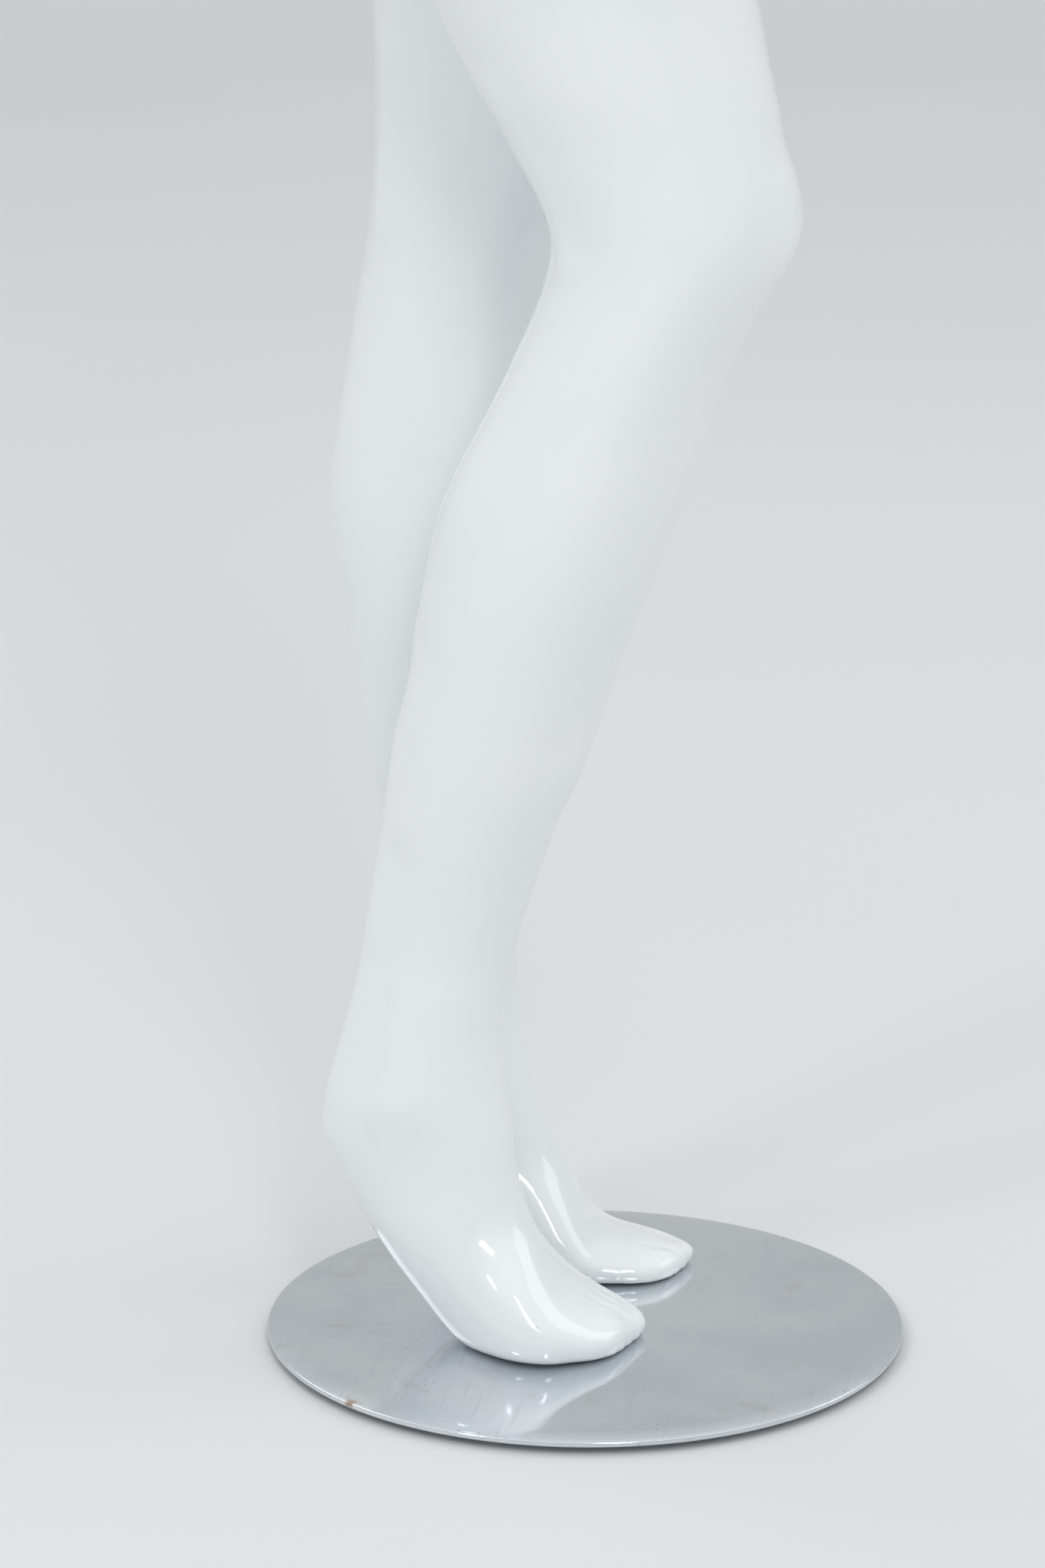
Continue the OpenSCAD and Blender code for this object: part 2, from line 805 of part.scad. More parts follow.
module wrist_socket(side) {
    tube_r = wrist_pin_r + socket_wall;
    color("silver")
        translate([mid_x + side * wrist_at[0], wrist_at[1], wrist_z + seam / 2])
            difference() {
                union() {
                    cylinder(r = tube_r, h = wrist_depth, $fn = ROUND);
                    cylinder(r = tube_r + flange_rim, h = flange_t, $fn = ROUND);
                }
                translate([0, 0, -1]) cylinder(r = wrist_pin_r + fit, h = wrist_depth + 2, $fn = ROUND);
            }
}

module left_arm_shell() arm_shell(LEFT);
module left_arm_disc() arm_disc(LEFT);
module left_arm_spigot() arm_spigot(LEFT);
module left_arm_screws() arm_screws(LEFT);
module left_wrist_socket() wrist_socket(LEFT);
module right_arm_shell() arm_shell(RIGHT);
module right_arm_disc() arm_disc(RIGHT);
module right_arm_spigot() arm_spigot(RIGHT);
module right_arm_screws() arm_screws(RIGHT);
module right_wrist_socket() wrist_socket(RIGHT);

// --- Hands ---

// Each finger: y at the knuckle, length, half thickness and how far its tip swings forward
fingers = [
    [-15, 66, 8, -7],
    [3, 74, 8.4, -4],
    [21, 69, 8, 0],
    [37, 54, 7, 4]
];
knuckle_z = 822;
finger_curl = 11;

function finger_rows(finger, side) = [
    for (step = [[0, 1], [0.25, 0.98], [0.5, 0.94], [0.75, 0.88], [0.92, 0.68], [1, 0.3]])
        let (
            along = step[0],
            half = finger[2] * step[1],
            y = finger[0] + finger[3] * along * along
        )
        [
            knuckle_z - finger[1] * along,
            216 - finger_curl * along * along,
            half,
            y - half,
            y + half
        ]
];

function reversed(list) = [for (i = [len(list) - 1 : -1 : 0]) list[i]];

thumb_rows = [
    [800, 205, 5, -42, -33],
    [806, 206, 8, -45, -30],
    [822, 208, 9, -44, -25],
    [842, 211, 10, -39, -16],
    [862, 214, 11, -30, -5],
    [878, 216, 10, -20, 5]
];

module hand(side) {
    color([0.93, 0.94, 0.96])
        one_mesh()
            difference() {
                union() {
                    stack(rows_between(placed(palm_rows, side), 808, 904.9), sides = LIMB_SIDES - 6);
                    for (finger = fingers)
                        stack(placed(reversed(finger_rows(finger, side)), side), sides = FINGER_SIDES);
                    stack(placed(thumb_rows, side), sides = FINGER_SIDES);
                }
                above(wrist_z - seam / 2);
                translate([mid_x + side * wrist_at[0], wrist_at[1], wrist_z - wrist_depth]) {
                    cylinder(r = wrist_pin_r, h = wrist_depth + 1, $fn = 32);
                    translate([0, 0, wrist_depth - seam / 2 - flange_t])
                        cylinder(r = wrist_pin_r + socket_wall + flange_rim, h = flange_t + 1, $fn = 32);
                }
            }
}

// Double-ended pin with a collar, set in the hand
module hand_spigot(side) {
    top = wrist_z - seam / 2;
    color("silver")
        translate([mid_x + side * wrist_at[0], wrist_at[1], 0]) {
            translate([0, 0, wrist_z - wrist_depth + 1])
                cylinder(r = wrist_pin_r, h = 2 * wrist_depth - 6, $fn = ROUND);
            translate([0, 0, top - flange_t])
                cylinder(r = wrist_pin_r + socket_wall + flange_rim, h = flange_t, $fn = ROUND);
        }
}

module left_hand() hand(LEFT);
module left_hand_spigot() hand_spigot(LEFT);
module right_hand() hand(RIGHT);
module right_hand_spigot() hand_spigot(RIGHT);

base_plate();
base_pads();
support_rod();
rod_flange();
rod_bolt();
lower_body_shell();
leg_socket();
lock_screw_boss();
ankle_lock_screw();
hip_top_disc();
waist_socket();
waist_socket_screws();
hip_thigh_disc();
thigh_socket();
thigh_socket_screws();
right_leg_shell();
right_thigh_disc();
thigh_spigot();
thigh_spigot_screws();
waist_washer();
torso_shell();
torso_bottom_disc();
waist_spigot();
waist_spigot_screws();
neck_disc();
neck_socket();
neck_socket_screws();
left_shoulder_disc();
left_shoulder_socket();
left_shoulder_screws();
right_shoulder_disc();
right_shoulder_socket();
right_shoulder_screws();
head_shell();
head_disc();
head_spigot();
head_spigot_screws();
left_arm_shell();
left_arm_disc();
left_arm_spigot();
left_arm_screws();
left_wrist_socket();
right_arm_shell();
right_arm_disc();
right_arm_spigot();
right_arm_screws();
right_wrist_socket();
left_hand();
left_hand_spigot();
right_hand();
right_hand_spigot();
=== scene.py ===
"""Looks of a full-figure shop mannequin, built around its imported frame. Metres, +Z up."""

import json
import math

import bmesh
import bpy
import numpy as np
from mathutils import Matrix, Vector


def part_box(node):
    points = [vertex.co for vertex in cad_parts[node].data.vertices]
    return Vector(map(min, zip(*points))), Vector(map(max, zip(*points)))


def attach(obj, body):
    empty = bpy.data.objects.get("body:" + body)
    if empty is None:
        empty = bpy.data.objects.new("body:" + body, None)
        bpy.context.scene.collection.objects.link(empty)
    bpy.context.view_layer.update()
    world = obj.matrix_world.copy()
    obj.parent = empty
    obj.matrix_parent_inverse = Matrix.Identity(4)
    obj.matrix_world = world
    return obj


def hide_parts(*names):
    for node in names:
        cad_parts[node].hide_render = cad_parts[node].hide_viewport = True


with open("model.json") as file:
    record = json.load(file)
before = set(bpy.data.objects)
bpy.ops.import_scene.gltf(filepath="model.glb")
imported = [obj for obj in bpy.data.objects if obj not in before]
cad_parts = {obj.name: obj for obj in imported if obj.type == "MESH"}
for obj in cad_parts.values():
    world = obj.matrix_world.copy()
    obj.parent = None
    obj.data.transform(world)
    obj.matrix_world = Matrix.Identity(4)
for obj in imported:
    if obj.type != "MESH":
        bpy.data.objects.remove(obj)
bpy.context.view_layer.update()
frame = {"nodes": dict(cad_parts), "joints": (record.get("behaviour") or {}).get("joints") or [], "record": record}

MM = 0.001
LEFT, RIGHT = 1, -1

# --- Places taken from the frame, in millimetres ---


def box_mm(node):
    """The two corners of a CAD node's box."""
    low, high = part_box(node)
    return np.array(low) / MM, np.array(high) / MM


def joint_mm(name):
    """A point on a joint's axis."""
    joint = next(j for j in frame["joints"] if j["name"] == name)
    return np.array(joint["pos_m"]) / MM


MID_X, WAIST_Y, WAIST_Z = joint_mm("waist_turn")
NECK_Z = joint_mm("head_turn")[2]
THIGH_Z = joint_mm("right_leg_turn")[2]
SHOULDER = joint_mm("left_arm_turn")
SHOULDER_X = SHOULDER[0] - MID_X
WRIST = joint_mm("left_hand_turn")
HALF_SEAM = 0.2
WALL = 3.5
SOLE_GAP = 0.3
SHOULDER_HOLE = (27.0, 40.0)
WRIST_HOLE = (11.6, 11.6)
WRIST_POCKET = 2.6
LOWER_VOXEL, UPPER_VOXEL, HEAD_VOXEL, HAND_VOXEL = 2.85, 2.5, 2.0, 1.3

# --- Level sections of the figure: height, centre x, half width, front y, back y ---
# x is counted from the midline on the trunk, the head and the arms.

TRUNK = [
    (868, 0, 14, 28, 92), (878, 0, 58, 2, 118), (894, 0, 112, -22, 145), (915, 0, 146, -38, 162),
    (942, 0, 161, -48, 170), (980, 0, 162, -54, 166), (1020, 0, 151, -56, 150),
    (1065, 0, 134, -54, 130), (1110, 0, 120, -46, 116), (1150, 0, 116, -40, 112),
    (1200, 0, 120, -44, 116), (1250, 0, 126, -50, 123), (1300, 0, 130, -56, 129),
    (1350, 0, 134, -60, 132), (1400, 0, 139, -54, 130), (1432, 0, 148, -42, 124),
    (1455, 0, 150, -28, 115), (1470, 0, 134, -14, 107), (1482, 0, 108, -3, 100),
    (1494, 0, 80, 3, 96), (1508, 0, 61, 6, 93), (1525, 0, 54, 4, 90),
    (1550, 0, 52, -3, 85), (1580, 0, 52, -12, 82), (1615, 0, 48, -18, 78),
]
HEAD = [
    (1584, 0, 11, -64, -42), (1589, 0, 24, -71, -20), (1602, 0, 41, -78, 18),
    (1620, 0, 54, -81, 62), (1640, 0, 63, -82, 95), (1668, 0, 71, -82, 113),
    (1700, 0, 75, -80, 119), (1735, 0, 74, -73, 117), (1768, 0, 65, -56, 104),
    (1790, 0, 47, -32, 80), (1802, 0, 22, -4, 50), (1805, 0, 8, 12, 36),
]
ARM = [
    (892, 218, 18, -16, 38), (905, 218, 18.5, -16, 37), (940, 217, 20, -14, 36),
    (980, 214, 25, -9, 44), (1030, 211, 29, -2, 59), (1080, 207, 33, 7, 73),
    (1120, 204, 34, 15, 81), (1165, 200, 32, 20, 85), (1200, 196, 32, 20, 87),
    (1250, 190, 34, 15, 87), (1300, 184, 36, 9, 88), (1345, 178, 38, 4, 90),
    (1370, 174, 39.5, 1, 91), (1400, 169, 41, 0, 91), (1428, 163, 40, 3, 88),
    (1450, 156, 35, 10, 82), (1464, 149, 26, 20, 73), (1472, 143, 12, 34, 60),
]
PALM = [
    (808, 216, 9, -22, 42), (818, 216, 13, -25, 47), (840, 217, 15, -25, 47),
    (868, 218, 16.5, -21, 42), (890, 218, 17.5, -17, 38), (905, 218, 18.5, -16, 37),
]
THUMB = [
    (800, 205, 5, -42, -33), (806, 206, 8, -45, -30), (822, 208, 9, -44, -25),
    (842, 211, 10, -39, -16), (862, 214, 11, -30, -5), (878, 216, 10, -20, 5),
]
# y at the knuckle, length, half thickness and how far the tip swings along y
FINGERS = [(-15, 66, 8, -7), (3, 74, 8.4, -4), (21, 69, 8, 0), (37, 54, 7, 4)]
KNUCKLE_Z = 822
PALM_X = 216
FINGER_CURL = 11
LEFT_LEG = [
    (30, 88, 30, 12.5, 82), (45, 88, 32, 14, 97), (62, 88, 33, 22.5, 109), (84, 88, 34, 32.5, 124),
    (105, 88, 34, 40, 131), (137, 88, 34, 46, 131), (167, 88, 34, 49, 124),
    (190, 88, 32, 49, 119), (214, 88, 31, 48, 118), (254, 89, 33, 48, 124),
    (295, 90, 38, 46, 131), (331, 91, 43, 43, 136), (372, 92, 49, 40, 143),
    (427, 93, 54, 34, 146), (470, 94, 54, 30, 142), (521, 95, 52, 25, 135),
    (555, 96, 52, 17, 130), (591, 97, 54, 5, 127), (620, 99, 57, -4, 125),
    (677, 102, 64, -17, 125), (740, 106, 71, -24, 133), (800, 110, 76, -28, 141),
    (856, 112, 78, -30, 147), (900, 113, 82, -34, 150), (940, 111, 78, -36, 156),
    (975, 104, 58, -14, 136),
]
RIGHT_LEG = [
    (30, -26, 30, 10, 86), (46, -25, 32, 14, 99), (62, -24, 34, 21, 109),
    (84, -22, 34, 29, 124), (108, -22, 34, 33.5, 133), (135, -22, 35, 38, 131),
    (165, -22, 34, 40, 123), (190, -23, 32, 38, 116), (210, -23, 31, 34, 112),
    (240, -24, 33, 25, 107), (278, -26, 38, 12, 100), (313, -28, 43, -2, 95),
    (365, -31, 49, -20, 85), (405, -33, 53, -35, 77), (446, -35, 54, -50, 66),
    (496, -37, 53, -66, 42), (540, -38, 53, -85, 22), (571, -38, 54, -104, 15),
    (590, -39, 55, -108, 18), (619, -40, 57, -103, 32), (652, -42, 62, -94, 50),
    (691, -44, 67, -85, 70), (740, -47, 72, -74, 92), (800, -50, 76, -58, 115),
    (856, -52, 78, -42, 132), (900, -54, 81, -38, 146), (940, -51, 78, -38, 154),
    (975, -44, 58, -14, 134),
]
# Front of each foot as upright sections from the toe back: y, distance of the section's centre
# from the foot's line towards the big toe, half width, sole height, ridge height, top height
RIGHT_FOREFOOT = [
    (-34.6, 8, 3, 12, 14.5, 16), (-33, 7.5, 8, 9.4, 14.5, 17.5), (-30.5, 7, 13, 7.8, 14.5, 19.5),
    (-27.2, 3.5, 19.5, 7.3, 15, 21.5), (-23, 0, 27, 7.3, 15.5, 23.5), (-18, -1, 32.5, 7.3, 16.5, 26),
    (-11, -2.5, 37, 7.3, 18, 28.5), (-3.6, -3.5, 40, 7.3, 20, 33.5), (4, -5, 43.5, 7.3, 22, 39),
    (12, -6, 45, 7.3, 24, 48), (19, -6.5, 45, 7.3, 26, 58), (27.5, -7, 44, 7.3, 29, 68),
    (36, -6.5, 41.5, 7.3, 33, 72), (44.5, -4, 38.5, 7.3, 36, 74), (50, -3, 36, 7.3, 38, 74),
    (55, -2, 32, 7.4, 40, 74), (60, -1, 28, 9, 42, 74), (66, 0, 25, 12.8, 44, 74),
    (70, 0, 22, 15.5, 46, 74), (76, 0, 19, 21, 50, 74), (82, 0, 16, 28, 54, 72),
]
LEFT_FOREFOOT = [
    (-46.5, -3, 3, 12, 14, 15.8), (-44.8, -1, 8, 9.4, 13.5, 17), (-42, 2, 14, 7.8, 13.5, 18.5),
    (-38, 5.5, 20.5, 7.3, 14, 20), (-30, 7, 29, 7.3, 14.5, 21.5), (-20, 6.5, 34.5, 7.3, 15, 23),
    (-10, 5, 38, 7.3, 15.5, 23), (-2, 4.5, 40, 7.3, 16, 24.5), (6, 5, 42, 7.3, 18, 28.5),
    (14, 5, 43, 7.3, 22, 42), (24, 5, 42.5, 7.3, 27, 58), (36, 4, 40, 7.3, 33, 70),
    (46, 2, 36.5, 7.5, 37, 73), (52, 1, 32, 9, 40, 74), (58, 0, 28, 12.5, 43, 74),
    (64, 0, 25, 17, 46, 74), (70, 0, 22, 23, 50, 74), (76, 0, 18, 31, 54, 73),
]
RIGHT_FOOT_X, LEFT_FOOT_X = -27, 88

# --- Smooth closed surfaces from sections ---


def smooth_rows(rows, step):
    """The rows blended by cubics, at an even step along their first value."""
    table = np.array(rows, float)
    at = table[:, 0]
    slopes = np.gradient(table, at, axis=0, edge_order=1)
    inner = (table[2:] - table[:-2]) / (at[2:] - at[:-2])[:, None]
    slopes[1:-1] = inner
    places = np.linspace(at[0], at[-1], max(2, int(round(abs(at[-1] - at[0]) / step)) + 1))
    i = np.clip(np.searchsorted(at, places, side="right") - 1, 0, len(at) - 2)
    rise = (at[i + 1] - at[i])[:, None]
    t = ((places - at[i]) / rise[:, 0])[:, None]
    return (
        table[i] * (2 * t**3 - 3 * t**2 + 1)
        + slopes[i] * rise * (t**3 - 2 * t**2 + t)
        + table[i + 1] * (3 * t**2 - 2 * t**3)
        + slopes[i + 1] * rise * (t**3 - t**2)
    )


def closed_rings(rings):
    """Vertices and faces of the closed surface through rings, an array of level, point, xyz."""
    levels, sides = rings.shape[:2]
    index = np.arange(levels * sides).reshape(levels, sides)
    turned = np.roll(index, -1, axis=1)
    quads = np.stack([index[:-1], turned[:-1], turned[1:], index[1:]], axis=-1).reshape(-1, 4)
    faces = [tuple(q) for q in quads.tolist()]
    faces.append(tuple(reversed(index[0].tolist())))
    faces.append(tuple(index[-1].tolist()))
    return rings.reshape(-1, 3), faces


def level_stack(rows, side=0, sides=72, step=3.0):
    """A closed stack of level ellipses. side mirrors x about the figure's midline; 0 takes x as it is."""
    table = smooth_rows(rows, step)
    angle = np.linspace(0, 2 * math.pi, sides, endpoint=False)
    centre = table[:, 1] if side == 0 else MID_X + side * table[:, 1]
    x = centre[:, None] + table[:, 2:3] * np.cos(angle)
    middle = (table[:, 3] + table[:, 4]) / 2
    depth = (table[:, 4] - table[:, 3]) / 2
    y = middle[:, None] + depth[:, None] * np.sin(angle)
    z = np.repeat(table[:, :1], sides, axis=1)
    return closed_rings(np.stack([x, y, z], axis=-1))


def forefoot(rows, line_x, side):
    """The front of one foot as upright sections with a flat sole, steep sides and a domed top."""
    sides, top_power, sole_power, tilt, full_width = 72, 1.8, 6.0, 6.0, 42
    table = smooth_rows(rows, 1.5)
    angle = np.linspace(0, 2 * math.pi, sides, endpoint=False)
    c, s = np.cos(angle), np.sin(angle)
    upper = s >= 0
    power = np.where(upper, 2 / top_power, 2 / sole_power)
    across = np.sign(c) * np.abs(c) ** power
    along = np.abs(s) ** power
    y, centre, half, sole, ridge, top = (table[:, k:k + 1] for k in range(6))
    towards_big_toe = -side
    lean = tilt * np.clip(s, 0, 1) ** 2 * (half / full_width)
    x = line_x + towards_big_toe * (centre + lean) + half * across
    z = np.where(upper, ridge + (top - ridge) * along, ridge - (ridge - sole) * along)
    return closed_rings(np.stack([x, np.repeat(y, sides, axis=1), z], axis=-1))


def finger_stack(finger, side):
    """One finger as a curled stack of level sections with a rounded tip."""
    y, length, half, swing = finger
    shape = [(1, 0.3), (0.97, 0.56), (0.92, 0.74), (0.84, 0.86), (0.72, 0.9), (0.62, 0.94),
             (0.5, 0.9), (0.34, 0.96), (0.25, 0.98), (0, 1)]
    rows = []
    for along, share in shape:
        r = half * share
        middle = y + swing * along**2
        rows.append((KNUCKLE_Z - length * along, PALM_X - FINGER_CURL * along**2, r, middle - r, middle + r))
    return level_stack(rows, side, sides=28, step=1.2)


def add_object(name, verts, faces):
    """A mesh object from points in millimetres."""
    mesh = bpy.data.meshes.new(name)
    mesh.from_pydata((np.asarray(verts) * MM).tolist(), [], faces)
    obj = bpy.data.objects.new(name, mesh)
    bpy.context.scene.collection.objects.link(obj)
    return obj


def fused(parts, voxel):
    """One even mesh round closed parts that overlap, as a mesh in metres."""
    verts, faces, start = [], [], 0
    for part_verts, part_faces in parts:
        verts.append(part_verts)
        faces += [tuple(start + i for i in face) for face in part_faces]
        start += len(part_verts)
    obj = add_object("fused", np.concatenate(verts), faces)
    remesh = obj.modifiers.new("even", "REMESH")
    remesh.mode = "VOXEL"
    remesh.voxel_size = voxel * MM
    evaluated = obj.evaluated_get(bpy.context.evaluated_depsgraph_get())
    mesh = bpy.data.meshes.new_from_object(evaluated)
    bpy.data.objects.remove(obj)
    return mesh


class Skin:
    """A dense mesh whose points are moved as a sculptor would, in millimetres."""

    def __init__(self, mesh):
        self.mesh = mesh
        count = len(mesh.vertices)
        flat = np.empty(count * 3, np.float32)
        mesh.vertices.foreach_get("co", flat)
        self.co = flat.reshape(-1, 3).astype(float) / MM
        ends = np.empty(len(mesh.edges) * 2, np.int32)
        mesh.edges.foreach_get("vertices", ends)
        self.ends = ends.reshape(-1, 2)
        self.degree = np.bincount(ends, minlength=count).astype(float)
        self.update()

    def update(self):
        self.mesh.vertices.foreach_set("co", (self.co * MM).astype(np.float32).ravel())
        self.mesh.update()
        flat = np.empty(len(self.co) * 3, np.float32)
        self.mesh.vertices.foreach_get("normal", flat)
        self.normal = flat.reshape(-1, 3).astype(float)

    def neighbours(self):
        a, b = self.ends[:, 0], self.ends[:, 1]
        count = len(self.co)
        total = [
            np.bincount(a, self.co[b, k], count) + np.bincount(b, self.co[a, k], count)
            for k in range(3)
        ]
        return np.stack(total, axis=1) / self.degree[:, None]

    def even_out(self, rounds):
        """Takes out ripples without shrinking."""
        for _ in range(rounds):
            for factor in (0.5, -0.52):
                self.co += factor * (self.neighbours() - self.co)
        self.update()

    def relax(self, rounds, share):
        """Melts creases where share is high."""
        share = np.asarray(share, float).reshape(-1, 1)
        for _ in range(rounds):
            self.co += 0.5 * share * (self.neighbours() - self.co)
        self.update()

    def bump(self, at, radii, amount, facing=None, along=None):
        """Raises a soft bump (or a dent) round a point."""
        away = (self.co - np.array(at, float)) / np.array(radii, float)
        weight = amount * np.exp(-(away**2).sum(axis=1))
        if facing is not None:
            weight = weight * np.clip(self.normal @ np.array(facing, float), 0, 1)
        push = self.normal if along is None else np.array(along, float)[None]
        self.co += weight[:, None] * push

    def crease(self, points, radius, amount, facing=None):
        """Raises a soft ridge (or a groove) along a line of points, fading at its ends."""
        points = [np.array(p, float) for p in points]
        best = np.full(len(self.co), 1e9)
        for a, b in zip(points[:-1], points[1:]):
            line = b - a
            t = np.clip((self.co - a) @ line / (line @ line), 0, 1)
            best = np.minimum(best, np.linalg.norm(self.co - (a + t[:, None] * line), axis=1))
        weight = amount * np.exp(-((best / radius) ** 2))
        if facing is not None:
            weight = weight * np.clip(self.normal @ np.array(facing, float), 0, 1)
        self.co += weight[:, None] * self.normal


FRONT, BACK, UP, DOWN = (0, -1, 0), (0, 1, 0), (0, 0, 1), (0, 0, -1)


def from_mid(side, x, y, z):
    """A point whose x is counted from the figure's midline towards one side."""
    return (MID_X + side * x, y, z)


def shape_trunk(skin):
    """Belly, hips, seat, bust, blades, collar bones and neck."""
    for side in (LEFT, RIGHT):
        skin.bump(from_mid(side, 61, -62, 1320), (43, 64, 43), 43, along=(0.10 * side, -1, -0.04))
        skin.bump(from_mid(side, 58, -60, 1362), (42, 60, 44), 8, along=FRONT)
    skin.update()
    for side in (LEFT, RIGHT):
        skin.crease([from_mid(side, 24, -56, 1281), from_mid(side, 62, -60, 1272),
                     from_mid(side, 100, -30, 1288)], 11, -3.0, FRONT)
        skin.bump(from_mid(side, 62, -98, 1316), (8, 12, 8), 1.6, FRONT)
        skin.bump(from_mid(side, 72, 150, 925), (46, 60, 50), 13, along=BACK)
        skin.bump(from_mid(side, 60, 126, 1385), (34, 40, 52), 6, BACK)
        skin.crease([from_mid(side, 34, 124, 1330), from_mid(side, 60, 120, 1322)], 12, -1.5, BACK)
        skin.crease([from_mid(side, 16, -8, 1476), from_mid(side, 60, -22, 1474),
                     from_mid(side, 118, -2, 1472)], 7.5, 3.6)
        skin.crease([from_mid(side, 34, -12, 1490), from_mid(side, 88, -4, 1486)], 12, -2.6)
        skin.crease([from_mid(side, 11, -2, 1494), from_mid(side, 26, 2, 1524),
                     from_mid(side, 40, 16, 1562)], 9, 1.5)
        skin.bump(from_mid(side, 98, -22, 992), (26, 30, 30), 3.4, FRONT)
        skin.crease([from_mid(side, 108, -26, 958), from_mid(side, 66, -44, 912),
                     from_mid(side, 22, -20, 874)], 11, -4.5, FRONT)
        skin.bump(from_mid(side, 32, 140, 1018), (11, 20, 13), -2.2, BACK)
        skin.crease([from_mid(side, 26, -52, 1215), from_mid(side, 66, -44, 1188),
                     from_mid(side, 100, -10, 1172)], 15, 1.8, FRONT)
        skin.bump(from_mid(side, 134, 60, 890), (20, 46, 34), -2.5)
    skin.bump(from_mid(1, 0, -14, 1478), (11, 16, 11), -4.5, FRONT)
    skin.bump(from_mid(1, 0, -54, 1022), (66, 40, 46), 3.5, FRONT)
    skin.bump(from_mid(1, 0, -48, 1084), (5.5, 16, 7.5), -4.5, FRONT)
    skin.crease([from_mid(1, 0, -46, 1100), from_mid(1, 0, -56, 1290)], 13, -1.8, FRONT)
    skin.crease([from_mid(1, 0, -66, 1290), from_mid(1, 0, -62, 1400)], 17, -3.0, FRONT)
    skin.crease([from_mid(1, 0, 168, 1000), from_mid(1, 0, 130, 1065), from_mid(1, 0, 120, 1102)],
                15, -4.5, BACK)
    skin.crease([from_mid(1, 0, 116, 1116), from_mid(1, 0, 112, 1150), from_mid(1, 0, 116, 1184)],
                15, -1.4, BACK)
    skin.crease([from_mid(1, 0, 116, 1198), from_mid(1, 0, 128, 1300), from_mid(1, 0, 126, 1430)],
                15, -4.5, BACK)
    skin.update()
    skin.crease([from_mid(1, 0, 172, 978), from_mid(1, 0, 182, 925), from_mid(1, 0, 158, 884)],
                11, -15, BACK)
    for side in (LEFT, RIGHT):
        skin.crease([from_mid(side, 20, 128, 872), from_mid(side, 62, 150, 870),
                     from_mid(side, 104, 138, 884)], 9, -4.5, BACK)
    skin.update()


def shape_leg(skin, rows, knee_bent, side):
    """Knee, calf, shin, ankle, tendon and heel of one leg whose level sections are rows."""
    table = np.array(rows, float)

    def at(z, across, depth):
        """A point at height z; across runs outwards and depth front to back, both from -1 to 1."""
        x, half, front, back = (np.interp(z, table[:, 0], table[:, k]) for k in (1, 2, 3, 4))
        return (x + side * across * half, (front + back) / 2 + depth * (back - front) / 2, z)

    knee = 590
    rise = 0.8 if knee_bent else 3.6
    skin.bump(at(knee, 0, -1), (20, 22, 24), rise, FRONT)
    for across in (-0.55, 0.55):
        skin.bump(at(knee - 8, across, -0.82), (13, 16, 24), -2.2)
    skin.crease([at(knee + 34, -0.3, -0.96), at(knee + 34, 0.3, -0.96)], 14, -2.0, FRONT)
    if not knee_bent:
        skin.crease([at(knee - 26, 0, -1), at(knee - 52, 0, -1)], 9, 1.6, FRONT)
    skin.bump(at(knee - 4, 0, 1), (17, 26, 36), -3.2, BACK)
    for across in (-0.6, 0.6):
        skin.crease([at(knee + 60, across, 0.85), at(knee - 20, across * 1.1, 0.8)], 10, 2.2)
    skin.crease([at(530, -0.12, -1), at(300, -0.18, -1)], 9, 1.8, FRONT)
    skin.crease([at(520, 0.45, -0.86), at(330, 0.5, -0.84)], 16, -1.8)
    skin.crease([at(505, 0, 1), at(400, 0, 1)], 10, -2.4, BACK)
    skin.bump(at(440, -0.5, 0.8), (24, 30, 56), 3.2)
    skin.bump(at(455, 0.5, 0.8), (22, 30, 50), 2.2)
    skin.crease([at(365, -0.5, 0.86), at(352, 0, 1), at(375, 0.5, 0.86)], 16, -1.8, BACK)
    for across in (-0.66, 0.66):
        skin.crease([at(262, across, 0.66), at(205, across, 0.6), at(150, across, 0.5)], 13, -2.6)
    skin.bump(at(150, -0.98, 0.0), (14, 16, 18), 2.6)
    skin.bump(at(138, 0.98, 0.12), (13, 15, 18), 2.8)
    skin.crease([at(700, -0.25, -0.97), at(820, 0.1, -1)], 30, 1.6, FRONT)
    skin.bump(at(660, -0.75, -0.45), (22, 26, 36), 2.6)
    skin.update()


def shape_toes(skin, middle_x, shift, side):
    """Shallow grooves between the toes."""
    big = -side
    for across, tip, root in ((13, -27, 3), (4, -31, 1), (-5, -30, 2), (-13.5, -25, 6), (-21.5, -18, 10)):
        inner = (middle_x + big * (across * 0.62 + 4), tip + shift, 20)
        outer = (middle_x + big * (across * 1.22 + 2), root + shift, 31)
        skin.crease([inner, outer], 2.6, -1.7, (0, -0.35, 0.94))
    skin.update()


def shape_arm(skin, side):
    """Elbow, upper arm and wrist bones."""
    skin.bump(from_mid(side, 201, 86, 1168), (13, 16, 16), 3.2, BACK)
    for x in (182, 220):
        skin.bump(from_mid(side, x, 74, 1178), (9, 12, 18), -2.0)
    skin.bump(from_mid(side, 192, 16, 1262), (24, 24, 52), 2.4, FRONT)
    skin.bump(from_mid(side, 186, 90, 1300), (24, 24, 60), 2.0, BACK)
    skin.bump(from_mid(side, 214, 44, 1362), (16, 30, 22), -1.6)
    skin.bump(from_mid(side, 203, 16, 1150), (16, 12, 12), -1.8, FRONT)
    skin.bump(from_mid(side, 228, 14, 1098), (16, 30, 44), 1.8)
    skin.bump(from_mid(side, 226, 34, 925), (8, 9, 10), 2.6)
    skin.update()


